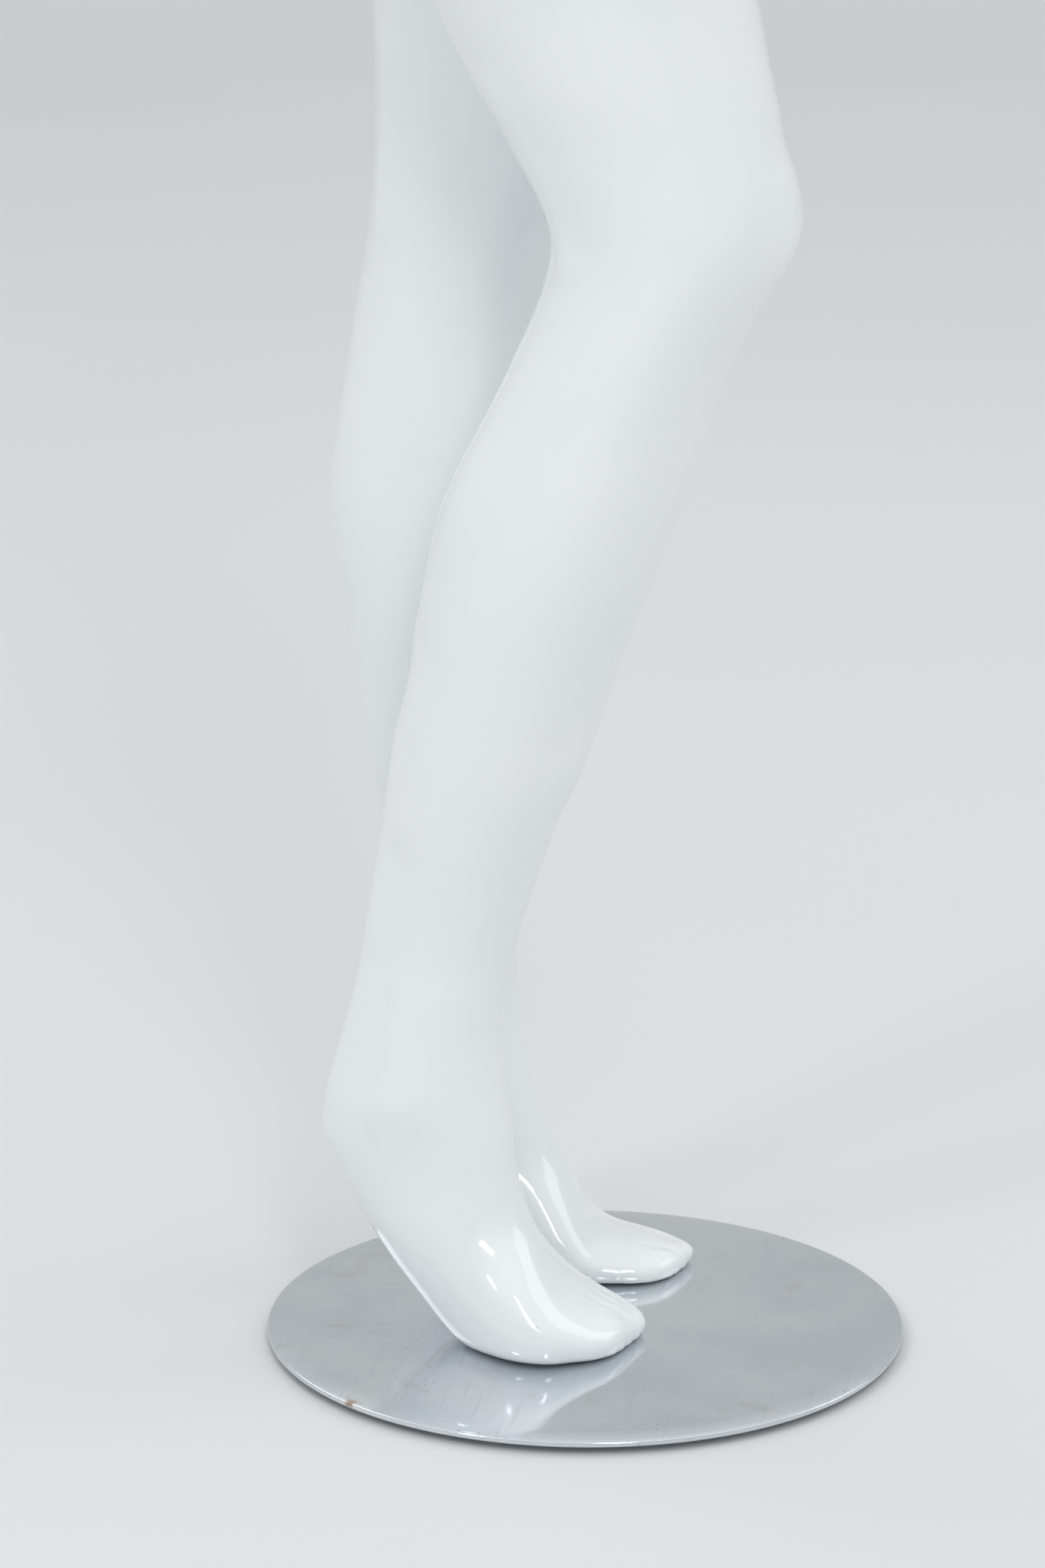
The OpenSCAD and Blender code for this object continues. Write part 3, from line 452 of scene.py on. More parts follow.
def shape_hand(skin, side):
    """Knuckles, tendons, palm and nails."""
    for y, length, half, swing in FINGERS:
        skin.bump(from_mid(side, 226, y, KNUCKLE_Z + 4), (8, 6, 8), 1.5)
        skin.crease([from_mid(side, 231, y, KNUCKLE_Z + 10), from_mid(side, 236, 10 + (y - 10) * 0.5, 880)],
                    4.0, 0.7)
        tip_y = y + swing
        tip = from_mid(side, PALM_X - FINGER_CURL * 0.86 + half * 0.8, tip_y, KNUCKLE_Z - length * 0.93)
        skin.bump(tip, (3.2, half * 0.62, 6.0), -0.8)
        for along in (0.36, 0.68):
            knuckle = from_mid(side, PALM_X - FINGER_CURL * along**2 + half, y + swing * along**2,
                               KNUCKLE_Z - length * along)
            skin.bump(knuckle, (5, 7, 6), 0.7)
            fold = from_mid(side, PALM_X - FINGER_CURL * along**2 - half, y + swing * along**2,
                            KNUCKLE_Z - length * along)
            skin.bump(fold, (5, 8, 2.6), -0.8)
    skin.bump(from_mid(side, 200, 12, 850), (9, 17, 26), -3.2)
    skin.bump(from_mid(side, 203, -18, 868), (12, 14, 24), 2.4)
    skin.bump(from_mid(side, 203, 34, 868), (10, 12, 26), 1.8)
    skin.update()


def shape_head(skin):
    """A plain abstract face: brow, eye hollows, nose, mouth and chin."""
    for side in (LEFT, RIGHT):
        skin.bump(from_mid(side, 31, -78, 1706), (19, 34, 12), -6.5, FRONT)
        skin.bump(from_mid(side, 31, -74, 1706), (12, 30, 7.5), 2.4, FRONT)
        skin.crease([from_mid(side, 14, -84, 1722), from_mid(side, 34, -80, 1727),
                     from_mid(side, 54, -62, 1719)], 7.5, 2.0, FRONT)
        skin.bump(from_mid(side, 46, -62, 1672), (20, 26, 17), 3.2)
        skin.bump(from_mid(side, 44, -66, 1634), (16, 24, 20), -2.4)
        skin.bump(from_mid(side, 62, 20, 1622), (20, 34, 18), -2.0)
        skin.bump(from_mid(side, 9, -88, 1661), (6, 14, 6), 2.6)
    skin.crease([from_mid(1, 0, -82, 1716), from_mid(1, 0, -88, 1690), from_mid(1, 0, -94, 1666)],
                8.5, 4.6, FRONT)
    skin.update()
    skin.bump(from_mid(1, 0, -92, 1666), (9, 22, 11), 6.5, along=FRONT)
    skin.bump(from_mid(1, 0, -84, 1638), (23, 26, 10), 3.4, along=FRONT)
    skin.bump(from_mid(1, 0, -84, 1603), (19, 26, 12), 4.0, along=FRONT)
    skin.bump(from_mid(1, 0, -84, 1621), (20, 26, 6), -2.2, along=FRONT)
    skin.update()
    skin.crease([from_mid(-1, 20, -82, 1637), from_mid(-1, 8, -88, 1636), from_mid(1, 8, -88, 1636),
                 from_mid(1, 20, -82, 1637)], 2.6, -1.5, FRONT)
    skin.update()


# --- Cutting the figure into its parts ---


def ordered_loop(edges):
    """The vertices of one closed loop of edges, in order."""
    links = {}
    for edge in edges:
        for vert in edge.verts:
            links.setdefault(vert, []).append(edge.other_vert(vert))
    start = next(iter(links))
    loop, last = [start], None
    while True:
        here = loop[-1]
        following = [v for v in links[here] if v is not last]
        last = here
        if not following or following[0] is start:
            return loop
        loop.append(following[0])


def cut(bm, at, out, hole=None, depth=9.0, only=None):
    """Cuts the body at a plane, keeps the side behind it and builds the laminate's rim and a pocket.

    at and out are the plane's point and the outward direction, hole the half sizes of a round
    opening about at, depth how far the pocket or the wall's inner side runs behind the plane, and
    only chooses the vertices that the cut may reach."""
    at, out = Vector(at), Vector(out)
    edge = 0.5
    chosen = bm.verts[:] if only is None else [v for v in bm.verts if only(v.co / MM)]
    inside = set(chosen)
    geom = list(chosen)
    geom += [e for e in bm.edges if e.verts[0] in inside and e.verts[1] in inside]
    geom += [f for f in bm.faces if all(v in inside for v in f.verts)]
    bmesh.ops.bisect_plane(
        bm, geom=geom, dist=1e-7, plane_co=(at - out * edge) * MM, plane_no=out, clear_outer=True
    )
    bm.normal_update()
    loop = ordered_loop([e for e in bm.edges if e.is_boundary])
    inward = []
    for v in loop:
        flat = v.normal - out * v.normal.dot(out)
        inward.append(-flat.normalized())
    count = len(loop)
    steady = [sum((inward[(i + k) % count] for k in range(-3, 4)), Vector()).normalized()
              for i in range(count)]
    if abs(out.z) > 0.5:
        axes = Vector((1, 0, 0)), Vector((0, 1, 0))
    else:
        axes = Vector((0, 1, 0)), Vector((0, 0, 1))

    def on_surface(inset, drop):
        return [v.co + (d * inset + out * (edge - drop)) * MM for v, d in zip(loop, steady)]

    def on_hole(grow, drop):
        points = []
        for v in loop:
            away = v.co / MM - at
            turn = math.atan2(away.dot(axes[1]) / hole[1], away.dot(axes[0]) / hole[0])
            flat = axes[0] * math.cos(turn) * (hole[0] + grow) + axes[1] * math.sin(turn) * (hole[1] + grow)
            points.append((at + flat - out * drop) * MM)
        return points

    rings = [on_surface(0.12, 0.2), on_surface(0.45, 0)]
    if hole is None:
        rings += [on_surface(WALL - 0.4, 0), on_surface(WALL, 0.4), on_surface(WALL, depth)]
    else:
        rings += [on_hole(0.4, 0), on_hole(0, 0.4), on_hole(0, depth)]
    before = loop
    for number, points in enumerate(rings):
        ring = [bm.verts.new(p) for p in points]
        for i in range(count):
            k = (i + 1) % count
            face = bm.faces.new((before[i], before[k], ring[k], ring[i]))
            face.smooth = True
            face.material_index = 1 if number >= 2 else 0
        if number >= 1:
            for i in range(count):
                bm.edges.get((ring[i], ring[(i + 1) % count])).smooth = False
        before = ring
    cap = bm.faces.new(before)
    cap.material_index = 1


def carved(obj, drill):
    """The mesh of obj with the closed shape of drill cut away. The drill is removed."""
    hole = obj.modifiers.new("hole", "BOOLEAN")
    hole.operation = "DIFFERENCE"
    hole.object = drill
    mesh = bpy.data.meshes.new_from_object(obj.evaluated_get(bpy.context.evaluated_depsgraph_get()))
    obj.modifiers.clear()
    bpy.data.objects.remove(drill)
    return mesh


def drilled(mesh, start, end, radius):
    """The mesh with a round blind hole from start to end, in millimetres."""
    start, end = np.array(start, float), np.array(end, float)
    axis = (end - start) / np.linalg.norm(end - start)
    one = np.cross(axis, (1.0, 0, 0))
    two = np.cross(axis, one)
    turn = np.linspace(0, 2 * math.pi, 48, endpoint=False)
    around = radius * (np.cos(turn)[:, None] * one + np.sin(turn)[:, None] * two)
    drill = add_object("drill", *closed_rings(np.stack([start + around, end + around])))
    body = bpy.data.objects.new("drilled", mesh)
    bpy.context.scene.collection.objects.link(body)
    result = carved(body, drill)
    bpy.data.objects.remove(body)
    return result


def piece_of(name, mesh, body, node, cuts, keep=None):
    """One rigid part of the figure: a copy of mesh, cut at its parting planes."""
    bm = bmesh.new()
    bm.from_mesh(mesh)
    for face in bm.faces:
        face.smooth = True
    for spec in cuts:
        cut(bm, **spec)
    if keep is not None:
        bmesh.ops.delete(bm, geom=[v for v in bm.verts if not keep(v.co / MM)], context="VERTS")
    bmesh.ops.recalc_face_normals(bm, faces=bm.faces[:])
    made = bpy.data.meshes.new(name)
    bm.to_mesh(made)
    bm.free()
    obj = bpy.data.objects.new(name, made)
    bpy.context.scene.collection.objects.link(obj)
    made.materials.append(lacquer)
    made.materials.append(laminate)
    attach(obj, body)
    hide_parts(node)
    return obj


# --- Materials ---


class Nodes:
    """Short names for the nodes of one procedural material, in object coordinates."""

    def __init__(self, name):
        self.material = bpy.data.materials.new(name)
        self.material.use_nodes = True
        self.tree = self.material.node_tree
        self.shader = self.tree.nodes["Principled BSDF"]
        self.place = self.tree.nodes.new("ShaderNodeTexCoord").outputs["Object"]

    def link(self, a, b):
        self.tree.links.new(a, b)

    def set(self, **values):
        for key, value in values.items():
            self.shader.inputs[key.replace("_", " ")].default_value = value

    def stretched(self, scale, turn=(0, 0, 0)):
        node = self.tree.nodes.new("ShaderNodeMapping")
        self.link(self.place, node.inputs["Vector"])
        node.inputs["Scale"].default_value = scale
        node.inputs["Rotation"].default_value = turn
        return node.outputs["Vector"]

    def noise(self, scale, detail=3.0, rough=0.5, vector=None, distortion=0.0):
        node = self.tree.nodes.new("ShaderNodeTexNoise")
        self.link(vector or self.place, node.inputs["Vector"])
        node.inputs["Scale"].default_value = scale
        node.inputs["Detail"].default_value = detail
        node.inputs["Roughness"].default_value = rough
        node.inputs["Distortion"].default_value = distortion
        return node.outputs["Fac"]

    def cells(self, scale, vector=None):
        node = self.tree.nodes.new("ShaderNodeTexVoronoi")
        self.link(vector or self.place, node.inputs["Vector"])
        node.inputs["Scale"].default_value = scale
        node.inputs["Randomness"].default_value = 1.0
        return node.outputs["Distance"]

    def ramp(self, value, low, high, start=0.0, end=1.0):
        node = self.tree.nodes.new("ShaderNodeMapRange")
        node.interpolation_type = "SMOOTHSTEP"
        self.link(value, node.inputs["Value"])
        for key, number in zip(("From Min", "From Max", "To Min", "To Max"), (low, high, start, end)):
            node.inputs[key].default_value = number
        return node.outputs["Result"]

    def math(self, kind, a, b):
        node = self.tree.nodes.new("ShaderNodeMath")
        node.operation = kind
        for socket, value in zip(node.inputs, (a, b)):
            if isinstance(value, (int, float)):
                socket.default_value = value
            else:
                self.link(value, socket)
        return node.outputs["Value"]

    def mix(self, share, a, b):
        node = self.tree.nodes.new("ShaderNodeMix")
        node.data_type = "RGBA"
        self.link(share, node.inputs["Factor"])
        for socket, value in zip((node.inputs[6], node.inputs[7]), (a, b)):
            if isinstance(value, tuple):
                socket.default_value = (*value, 1.0)
            else:
                self.link(value, socket)
        return node.outputs[2]

    def axes(self):
        """The separate X, Y and Z of the object coordinates."""
        node = self.tree.nodes.new("ShaderNodeSeparateXYZ")
        self.link(self.place, node.inputs["Vector"])
        return node.outputs

    def bump(self, value, distance, strength=1.0, below=None):
        node = self.tree.nodes.new("ShaderNodeBump")
        node.inputs["Strength"].default_value = strength
        node.inputs["Distance"].default_value = distance
        self.link(value, node.inputs["Height"])
        if below is not None:
            self.link(below, node.inputs["Normal"])
        return node.outputs["Normal"]

    def finish(self, color=None, roughness=None, normal=None):
        for key, value in (("Base Color", color), ("Roughness", roughness), ("Normal", normal)):
            if value is not None:
                self.link(value, self.shader.inputs[key])
        return self.material


def make_lacquer():
    """Sprayed high-gloss white lacquer with faint orange peel, dust and a few handling scuffs."""
    n = Nodes("gloss_white_lacquer")
    n.set(Coat_Weight=0.5, Coat_Roughness=0.04, Specular_IOR_Level=0.55)
    cloud = n.noise(7, 3)
    base = n.mix(n.ramp(cloud, 0.35, 0.7), (0.840, 0.866, 0.880), (0.866, 0.886, 0.897))
    low_down = n.ramp(n.axes()["Z"], 0.02, 0.45, 1.0, 0.12)
    sparse = n.ramp(n.noise(26, 2), 0.60, 0.66)
    ticks = n.ramp(n.cells(95, n.stretched((1, 1, 0.3), (0.5, 0.35, 0.2))), 0.03, 0.06, 1.0, 0.0)
    specks = n.ramp(n.cells(130, n.stretched((1, 1, 1), (0.2, 0.9, 0.4))), 0.03, 0.06, 1.0, 0.0)
    near = n.ramp(n.noise(34, 2, vector=n.stretched((1, 1, 1), (1.1, 0.2, 0.7))), 0.56, 0.63)
    marks = n.math("MAXIMUM", n.math("MULTIPLY", ticks, sparse), n.math("MULTIPLY", specks, near))
    marks = n.math("MULTIPLY", n.math("MULTIPLY", marks, low_down), 0.62)
    smear = n.ramp(n.noise(60, 5, 0.62, n.stretched((1, 1, 0.25), (0.3, 0.2, 0))), 0.60, 0.74, 0.0, 0.10)
    color = n.mix(n.math("MULTIPLY", smear, low_down), base, (0.55, 0.56, 0.57))
    color = n.mix(marks, color, (0.17, 0.175, 0.18))
    rough = n.math("ADD", n.ramp(n.noise(40, 4), 0.3, 0.75, 0.07, 0.15), n.math("MULTIPLY", marks, 0.5))
    peel = n.bump(n.noise(420, 2), 0.00003, 0.5)
    wave = n.bump(n.noise(22, 1), 0.00035, 0.5, below=peel)
    return n.finish(color, rough, wave)


def make_laminate():
    """Raw chopped-strand laminate inside the shells, seen only at the joint faces."""
    n = Nodes("raw_laminate")
    strands = n.noise(240, 4, 0.7, n.stretched((1, 0.2, 1), (0.4, 0.3, 0.9)))
    across = n.noise(220, 4, 0.7, n.stretched((0.2, 1, 1), (0.1, 0.7, 0.2)))
    both = n.math("MAXIMUM", strands, across)
    color = n.mix(n.ramp(both, 0.4, 0.75), (0.50, 0.49, 0.42), (0.72, 0.70, 0.62))
    rough = n.ramp(both, 0.3, 0.8, 0.75, 0.5)
    return n.finish(color, rough, n.bump(both, 0.0004, 0.7))


def scratch_lines(n, turn, scale, low, high):
    """Fine straight scratches in one direction."""
    return n.ramp(n.noise(scale, 2, 0.5, n.stretched((0.035, 1, 1), turn)), low, high)


def make_plate():
    """Worn satin chrome: cloudy polish, fine scratches, pits, and rust specks at the rim."""
    n = Nodes("worn_satin_chrome")
    n.set(Metallic=1.0)
    cloud = n.noise(9, 5, 0.6)
    haze = n.ramp(cloud, 0.36, 0.68)
    base = n.mix(haze, (0.69, 0.73, 0.77), (0.79, 0.82, 0.85))
    stain = n.ramp(n.noise(24, 4, 0.6, distortion=0.6), 0.60, 0.72, 0.0, 0.35)
    base = n.mix(stain, base, (0.60, 0.57, 0.53))
    pits = n.ramp(n.cells(190), 0.05, 0.10, 1.0, 0.0)
    pits = n.math("MULTIPLY", pits, n.ramp(n.noise(45, 2), 0.50, 0.58))
    base = n.mix(n.math("MULTIPLY", pits, 0.8), base, (0.10, 0.09, 0.08))
    place = n.axes()
    radius = n.math("SQRT", n.math("ADD", n.math("MULTIPLY", place["X"], place["X"]),
                                   n.math("MULTIPLY", place["Y"], place["Y"])), 0.0)
    rim = n.ramp(radius, plate_radius - 0.006, plate_radius - 0.001)
    rust = n.math("MULTIPLY", rim, n.ramp(n.noise(34, 4, 0.65), 0.63, 0.72, 0.0, 0.8))
    base = n.mix(rust, base, (0.34, 0.22, 0.13))
    dust = n.ramp(n.cells(330, n.stretched((1, 1, 1), (0.3, 0.2, 0.8))), 0.04, 0.09, 1.0, 0.0)
    dusty = n.ramp(n.noise(20, 2, vector=n.stretched((1, 1, 1), (0.9, 0.1, 0))), 0.45, 0.6)
    dust = n.math("MULTIPLY", dust, dusty)
    base = n.mix(n.math("MULTIPLY", dust, 0.5), base, (0.78, 0.78, 0.77))
    scratches = n.math("MAXIMUM", scratch_lines(n, (0, 0, 0.5), 320, 0.66, 0.72),
                       scratch_lines(n, (0, 0, 2.1), 380, 0.67, 0.73))
    scratches = n.math("MAXIMUM", scratches, scratch_lines(n, (0, 0, 1.3), 260, 0.68, 0.73))
    base = n.mix(n.math("MULTIPLY", scratches, 0.18), base, (0.42, 0.44, 0.47))
    rough = n.ramp(n.noise(14, 5, 0.65, distortion=0.4), 0.3, 0.72, 0.05, 0.13)
    rough = n.math("ADD", rough, n.math("MULTIPLY", scratches, 0.12))
    rough = n.math("ADD", rough, n.math("MULTIPLY", n.math("MAXIMUM", rust, pits), 0.5))
    fine = n.bump(scratches, 0.00004, 0.5)
    dished = n.bump(n.noise(11, 1), 0.0003, 0.3, below=fine)
    return n.finish(base, rough, dished)


def make_metal(name, color, rough, grain_turn=(0, 0, 0)):
    """Turned or drawn metal with fine lines and slightly uneven tone."""
    n = Nodes(name)
    n.set(Metallic=1.0)
    lines = n.noise(900, 2, 0.5, n.stretched((1, 1, 0.04), grain_turn))
    cloud = n.noise(60, 3)
    dark = tuple(c * 0.78 for c in color)
    base = n.mix(n.ramp(cloud, 0.3, 0.7), dark, color)
    uneven = n.math("ADD", n.ramp(lines, 0.3, 0.7, rough - 0.07, rough + 0.08),
                    n.ramp(cloud, 0.35, 0.7, 0.0, 0.06))
    return n.finish(base, uneven, n.bump(lines, 0.00003, 0.5))


def make_plywood():
    """Birch plywood with long grain and faint pores."""
    n = Nodes("birch_plywood")
    grain = n.noise(26, 6, 0.62, n.stretched((0.12, 1, 1)), 1.4)
    pores = n.noise(520, 2, 0.5, n.stretched((0.06, 1, 1)))
    base = n.mix(n.ramp(grain, 0.32, 0.7), (0.44, 0.29, 0.16), (0.66, 0.50, 0.32))
    base = n.mix(n.ramp(pores, 0.56, 0.7, 0.0, 0.5), base, (0.25, 0.15, 0.08))
    rough = n.ramp(grain, 0.3, 0.7, 0.62, 0.78)
    return n.finish(base, rough, n.bump(n.math("ADD", grain, pores), 0.0003, 0.4))


def make_plain(name, low, high, rough, scale, depth, subsurface=0.0):
    """A moulded plastic or rubber with fine surface texture."""
    n = Nodes(name)
    n.set(Subsurface_Weight=subsurface)
    fine = n.noise(scale, 3, 0.6)
    base = n.mix(n.ramp(n.noise(scale / 12, 3), 0.3, 0.7), low, high)
    return n.finish(base, n.ramp(fine, 0.3, 0.7, rough - 0.08, rough + 0.08), n.bump(fine, depth, 0.6))


def make_floor():
    """Pale matt floor with a faint unevenness."""
    n = Nodes("pale_floor")
    n.set(Specular_IOR_Level=0.2)
    cloud = n.noise(0.7, 2)
    base = n.mix(n.ramp(cloud, 0.3, 0.7), (0.705, 0.709, 0.714), (0.718, 0.722, 0.728))
    return n.finish(base, n.ramp(cloud, 0.3, 0.7, 0.7, 0.78))


# --- Making the parts ---

plate_low, plate_high = box_mm("base_plate")
plate_radius = (plate_high[0] - plate_low[0]) / 2 * MM

lacquer = make_lacquer()
laminate = make_laminate()


def between(value, low, high, soft):
    """1 between low and high, falling softly to 0 outside them."""
    rise = 1 / (1 + np.exp(-(value - low) / soft))
    fall = 1 / (1 + np.exp((value - high) / soft))
    return rise * fall


def with_rod_holes(mesh):
    """The mesh with the left sole's hole for the rod and the heel's hole for the lock screw's boss."""
    rod_low, rod_high = box_mm("support_rod")
    rod_x, rod_y = (rod_low + rod_high)[:2] / 2
    boss_low, boss_high = box_mm("lock_screw_boss")
    boss_z = (boss_low[2] + boss_high[2]) / 2
    boss_r = (boss_high[0] - boss_low[0]) / 2
    socket_low, socket_high = box_mm("leg_socket")
    socket_r = (socket_high[0] - socket_low[0]) / 2
    hollow = drilled(mesh, (rod_x, rod_y, -5), (rod_x, rod_y, socket_low[2] + 25), socket_r + 0.15)
    return drilled(hollow, (rod_x, boss_high[1] + 40, boss_z), (rod_x, boss_high[1] - 8, boss_z),
                   boss_r + 0.1)


def make_lower_figure():
    """Hips and both legs as one skin, then cut into the body and the removable right leg."""
    hips = [row for row in TRUNK if row[0] <= 1250]
    parts = [
        level_stack(hips, 1, sides=120), level_stack(LEFT_LEG), level_stack(RIGHT_LEG),
        forefoot(LEFT_FOREFOOT, LEFT_FOOT_X, LEFT), forefoot(RIGHT_FOREFOOT, RIGHT_FOOT_X, RIGHT),
    ]
    skin = Skin(fused(parts, LOWER_VOXEL))
    skin.even_out(8)
    height = skin.co[:, 2]
    skin.relax(60, between(height, 868, 985, 5))
    skin.relax(16, between(height, 20, 100, 5) * 0.8)
    skin.relax(70, between(height, 16, 104, 5) * between(skin.co[:, 1], 22, 140, 6))
    shape_trunk(skin)
    for rows, knee_bent, side in ((LEFT_LEG, False, LEFT), (RIGHT_LEG, True, RIGHT)):
        shape_leg(skin, rows, knee_bent, side)
    skin.even_out(6)
    shape_toes(skin, LEFT_FOOT_X, -11, LEFT)
    shape_toes(skin, RIGHT_FOOT_X, 0, RIGHT)
    skin.co[:, 2] = np.maximum(skin.co[:, 2], plate_high[2] + SOLE_GAP)
    skin.update()

    def on_right_leg(p):
        return p.x < MID_X and p.z < THIGH_Z + 40

    def not_left_leg(p):
        return p.x < MID_X

    thigh_x, thigh_y = MID_X - 82, 45
    waist = (MID_X, WAIST_Y, WAIST_Z - HALF_SEAM)
    piece_of("hips_and_left_leg", with_rod_holes(skin.mesh), "lower_body", "lower_body_shell", [
        {"at": waist, "out": UP},
        {"at": (thigh_x, thigh_y, THIGH_Z + HALF_SEAM), "out": DOWN, "only": on_right_leg},
    ])
    piece_of("right_leg", skin.mesh, "right_leg", "right_leg_shell", [
        {"at": (thigh_x, thigh_y, THIGH_Z - HALF_SEAM), "out": UP},
    ], keep=not_left_leg)


def make_upper_figure():
    """Torso and arms as one skin, then cut at the waist, neck, shoulders and wrists."""
    torso = [row for row in TRUNK if row[0] >= 1065]
    parts = [level_stack(torso, 1, sides=120)]
    parts += [level_stack(ARM, side) for side in (LEFT, RIGHT)]
    skin = Skin(fused(parts, UPPER_VOXEL))
    skin.even_out(8)
    out = np.abs(skin.co[:, 0] - MID_X)
    height = skin.co[:, 2]
    skin.relax(90, between(out, 100, 165, 5) * between(height, 1330, 1490, 6))
    skin.relax(40, between(out, 20, 110, 5) * between(height, 1470, 1530, 6) * 0.7)
    shape_trunk(skin)
    for side in (LEFT, RIGHT):
        shape_arm(skin, side)
    skin.even_out(6)
    waist = (MID_X, WAIST_Y, WAIST_Z + HALF_SEAM)
    neck = (MID_X, joint_mm("head_turn")[1], NECK_Z - HALF_SEAM)
    cuts = [
        {"at": waist, "out": DOWN, "only": lambda p: abs(p.x - MID_X) < SHOULDER_X + 20},
    ]
    inner = SHOULDER_X - HALF_SEAM
    shoulders = [
        {"at": (MID_X + side * inner, SHOULDER[1], SHOULDER[2]), "out": (side, 0, 0),
         "hole": SHOULDER_HOLE}
        for side in (LEFT, RIGHT)
    ]
    piece_of("torso", skin.mesh, "torso", "torso_shell",
             shoulders + cuts + [{"at": neck, "out": UP}])
    outer = SHOULDER_X + HALF_SEAM
    for side, name in ((LEFT, "left"), (RIGHT, "right")):
        wrist = (MID_X + side * (WRIST[0] - MID_X), WRIST[1], WRIST[2] + HALF_SEAM)
        piece_of(f"{name}_arm", skin.mesh, f"{name}_arm", f"{name}_arm_shell", [
            {"at": (MID_X + side * outer, SHOULDER[1], SHOULDER[2]), "out": (-side, 0, 0),
             "hole": SHOULDER_HOLE},
            {"at": wrist, "out": DOWN, "hole": WRIST_HOLE, "depth": WRIST_POCKET},
        ])


def make_head():
    """Head and the upper part of the neck as one skin, cut at the neck's parting plane."""
    neck_rows = [row for row in TRUNK if row[0] >= 1494]
    parts = [level_stack(neck_rows, 1, sides=100), level_stack(HEAD, 1, sides=120, step=2)]
    skin = Skin(fused(parts, HEAD_VOXEL))
    skin.even_out(8)
    height = skin.co[:, 2]
    skin.relax(110, between(height, 1566, 1640, 5) * between(skin.co[:, 1], -52, 100, 6))
    shape_trunk(skin)
    shape_head(skin)
    skin.even_out(6)
    neck = (MID_X, joint_mm("head_turn")[1], NECK_Z + HALF_SEAM)
    piece_of("head", skin.mesh, "head", "head_shell", [{"at": neck, "out": DOWN}])


def make_hands():
    """Both hands, each one skin of wrist, palm, thumb and fingers, cut at the wrist."""
    wrist_rows = [row for row in ARM if row[0] <= 980]
    for side, name in ((LEFT, "left"), (RIGHT, "right")):
        parts = [level_stack(wrist_rows, side, step=2), level_stack(PALM, side, sides=48, step=1.5),
                 level_stack(THUMB, side, sides=32, step=1.2)]
        parts += [finger_stack(finger, side) for finger in FINGERS]
        skin = Skin(fused(parts, HAND_VOXEL))
        skin.even_out(8)
        skin.relax(22, between(skin.co[:, 2], 812, 838, 3))
        skin.relax(22, between(skin.co[:, 2], 828, 885, 4) * between(skin.co[:, 1], -40, -8, 3))
        shape_hand(skin, side)
        skin.even_out(4)
        wrist = (MID_X + side * (WRIST[0] - MID_X), WRIST[1], WRIST[2] - HALF_SEAM)
        piece_of(f"{name}_hand", skin.mesh, f"{name}_hand", f"{name}_hand", [
            {"at": wrist, "out": UP, "hole": WRIST_HOLE, "depth": WRIST_POCKET},
        ])


def turned_rings(profile, segments, centre=(0, 0)):
    """Rings of a turned shape: profile holds radius and height from one end to the other."""
    angle = np.linspace(0, 2 * math.pi, segments, endpoint=False)
    return np.array([
        np.stack([centre[0] + r * np.cos(angle), centre[1] + r * np.sin(angle), np.full(segments, z)],
                 axis=-1)
        for r, z in profile
    ])


def make_base_plate():
    """The steel disc with a rolled rim and the countersunk hole for the rod's bolt."""
    bottom, top = plate_low[2], plate_high[2]
    radius, middle_r = plate_high[0], 0.001
    round_r, steps = 0.8, 5
    rim_top = top - 0.24
    profile = [(middle_r, top), (radius * 0.5, top), (radius - 14, top), (radius - 2.6, top),
               (radius - 2.3, top - 0.05), (radius - 1.0, top - 0.22)]
    for start, height in ((math.pi / 2, rim_top - round_r), (0, bottom + round_r)):
        for k in range(steps + 1):
            a = start - math.pi / 2 * k / steps
            profile.append((radius - round_r + round_r * math.cos(a), height + round_r * math.sin(a)))
    profile += [(radius - 3, bottom), (radius * 0.5, bottom), (middle_r, bottom)]
    plate = add_object("chromed_base_plate", *closed_rings(turned_rings(profile, 240)))
    bolt_low, bolt_high = box_mm("rod_bolt")
    bolt_middle = (bolt_low + bolt_high) / 2
    head_r, shank_r, head_depth = 7.2, 4.1, 2.6
    drill_profile = [(head_r, bottom - 1), (head_r, bottom), (shank_r, bottom + head_depth),
                     (shank_r, rim_top + 2)]
    drill = add_object("drill", *closed_rings(turned_rings(drill_profile, 64, bolt_middle)))
    mesh = carved(plate, drill)
    plate.data = mesh
    bm = bmesh.new()
    bm.from_mesh(mesh)
    bmesh.ops.recalc_face_normals(bm, faces=bm.faces[:])
    for face in bm.faces:
        face.smooth = True
    sharp = math.radians(35)
    for e in bm.edges:
        e.smooth = len(e.link_faces) == 2 and e.calc_face_angle(0) < sharp
    bm.to_mesh(mesh)
    bm.free()
    mesh.materials.clear()
    mesh.materials.append(make_plate())
    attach(plate, "base")
    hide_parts("base_plate")


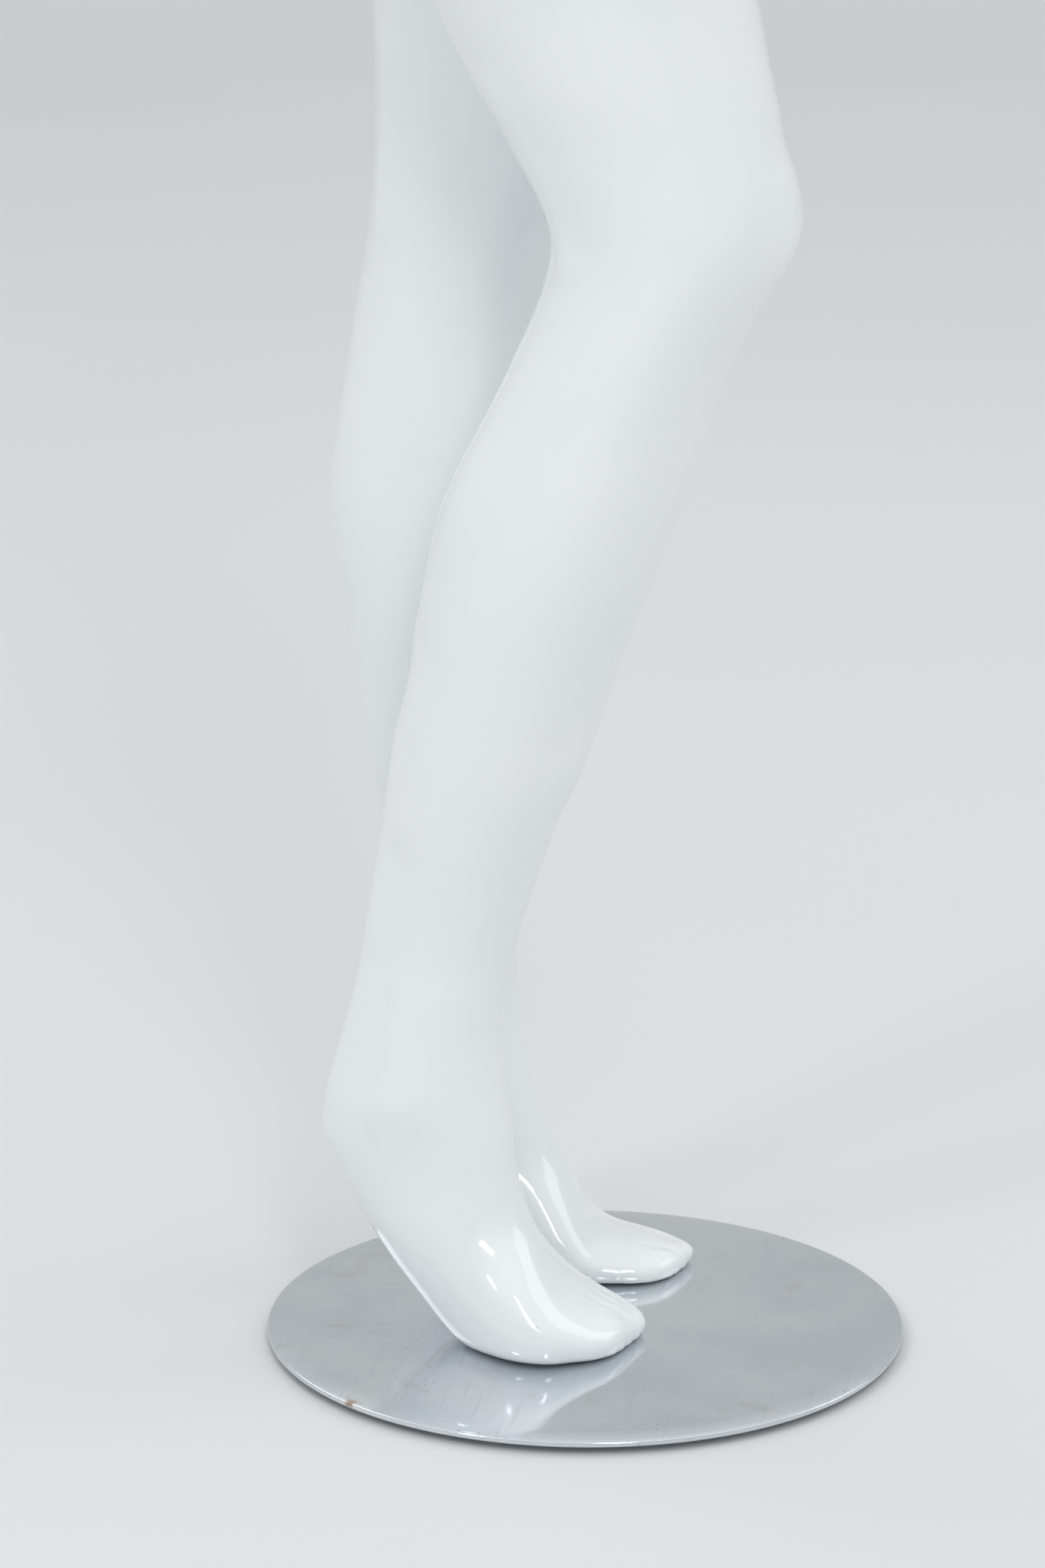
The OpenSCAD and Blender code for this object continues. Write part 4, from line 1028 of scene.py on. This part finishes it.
def paint_cad_nodes():
    """Materials for the rod, the fittings, the discs and the pads, by material slot."""
    finishes = {
        "rod_steel": make_metal("drawn_steel", (0.60, 0.61, 0.63), 0.24),
        "fitting_steel": make_metal("turned_steel", (0.58, 0.59, 0.60), 0.30, (1.57, 0, 0)),
        "screw_zinc": make_metal("zinc_plate", (0.66, 0.665, 0.64), 0.34, (1.57, 0, 0)),
        "dark_steel": make_metal("black_oxide", (0.055, 0.055, 0.06), 0.38),
        "plywood": make_plywood(),
        "nylon": make_plain("natural_nylon", (0.74, 0.72, 0.65), (0.82, 0.80, 0.74), 0.42, 300, 0.0001,
                            subsurface=0.15),
        "rubber": make_plain("black_rubber", (0.018, 0.018, 0.019), (0.03, 0.03, 0.031), 0.72, 600,
                             0.0002),
    }
    slots = {s["node"]: s["material_slot"] for s in frame["record"]["subparts"]}
    for name, obj in frame["nodes"].items():
        finish = finishes.get(slots[name])
        if finish is None:
            continue
        obj.data.materials.clear()
        obj.data.materials.append(finish)


# --- Studio ---


def make_studio():
    """Pale floor, graded sky and four soft lamps."""
    reach = 40000
    corners = [(-reach, -reach, 0), (reach, -reach, 0), (reach, reach, 0), (-reach, reach, 0)]
    floor = add_object("floor", corners, [(0, 1, 2, 3)])
    floor.data.materials.append(make_floor())
    world = bpy.data.worlds.new("studio")
    world.use_nodes = True
    tree = world.node_tree
    direction = tree.nodes.new("ShaderNodeTexCoord")
    parts = tree.nodes.new("ShaderNodeSeparateXYZ")
    sky = tree.nodes.new("ShaderNodeValToRGB")
    background = tree.nodes["Background"]
    background.inputs["Strength"].default_value = 1.06
    tree.links.new(direction.outputs["Generated"], parts.inputs["Vector"])
    tree.links.new(parts.outputs["Z"], sky.inputs["Fac"])
    tree.links.new(sky.outputs["Color"], background.inputs["Color"])
    # brightness over the sine of the elevation: a dim band above the horizon, a bright ceiling
    levels = ((0, 0.57), (0.15, 0.53), (0.35, 0.52), (0.6, 0.77), (1, 1.0))
    stops = sky.color_ramp.elements
    while len(stops) < len(levels):
        stops.new(0.5)
    for stop, (elevation, level) in zip(stops, levels):
        stop.position = elevation
        stop.color = (0.97 * level, 0.995 * level, level, 1.0)
    bpy.context.scene.world = world
    bpy.context.scene.view_settings.view_transform = "Standard"
    lamps = [
        ("key", (-2.8, -1.0, 2.6), (0.0, 0.0, 0.6), (0.6, 1.8), 25, (1.0, 0.99, 0.98)),
        ("window", (-1.7, 1.3, 2.0), (0.0, 0.0, 0.3), (0.3, 0.5), 7, (0.98, 0.99, 1.0)),
        ("fill", (1.6, -3.2, 2.4), (0.0, 0.0, 0.9), (2.0, 2.0), 14, (0.97, 0.985, 1.0)),
        ("back", (2.0, 2.6, 3.0), (0.0, 0.0, 0.9), (2.0, 2.0), 15, (1.0, 1.0, 1.0)),
    ]
    for name, place, target, size, power, color in lamps:
        data = bpy.data.lights.new(name, "AREA")
        data.shape = "RECTANGLE"
        data.size, data.size_y = size
        data.energy = power
        data.color = color
        lamp = bpy.data.objects.new(name, data)
        lamp.location = place
        lamp.rotation_mode = "QUATERNION"
        lamp.rotation_quaternion = (Vector(target) - Vector(place)).to_track_quat("-Z", "Y")
        bpy.context.scene.collection.objects.link(lamp)


def make_camera():
    """Low three-quarter view of the base and the legs from the figure's right side."""
    azimuth, distance, height = math.radians(-82), 2.245, 0.884
    pitch, yaw = math.radians(14.71), math.radians(-0.83)
    data = bpy.data.cameras.new("camera")
    data.sensor_width = 36.0
    data.lens = 105.5
    data.clip_end = 200
    camera = bpy.data.objects.new("camera", data)
    camera.location = (math.sin(azimuth) * distance, -math.cos(azimuth) * distance, height)
    heading = azimuth - yaw
    aim = Vector((-math.sin(heading) * math.cos(pitch), math.cos(heading) * math.cos(pitch),
                  -math.sin(pitch)))
    camera.rotation_mode = "QUATERNION"
    camera.rotation_quaternion = aim.to_track_quat("-Z", "Y")
    bpy.context.scene.collection.objects.link(camera)
    bpy.context.scene.camera = camera


make_studio()
make_camera()
make_base_plate()
make_lower_figure()
make_upper_figure()
make_head()
make_hands()
paint_cad_nodes()
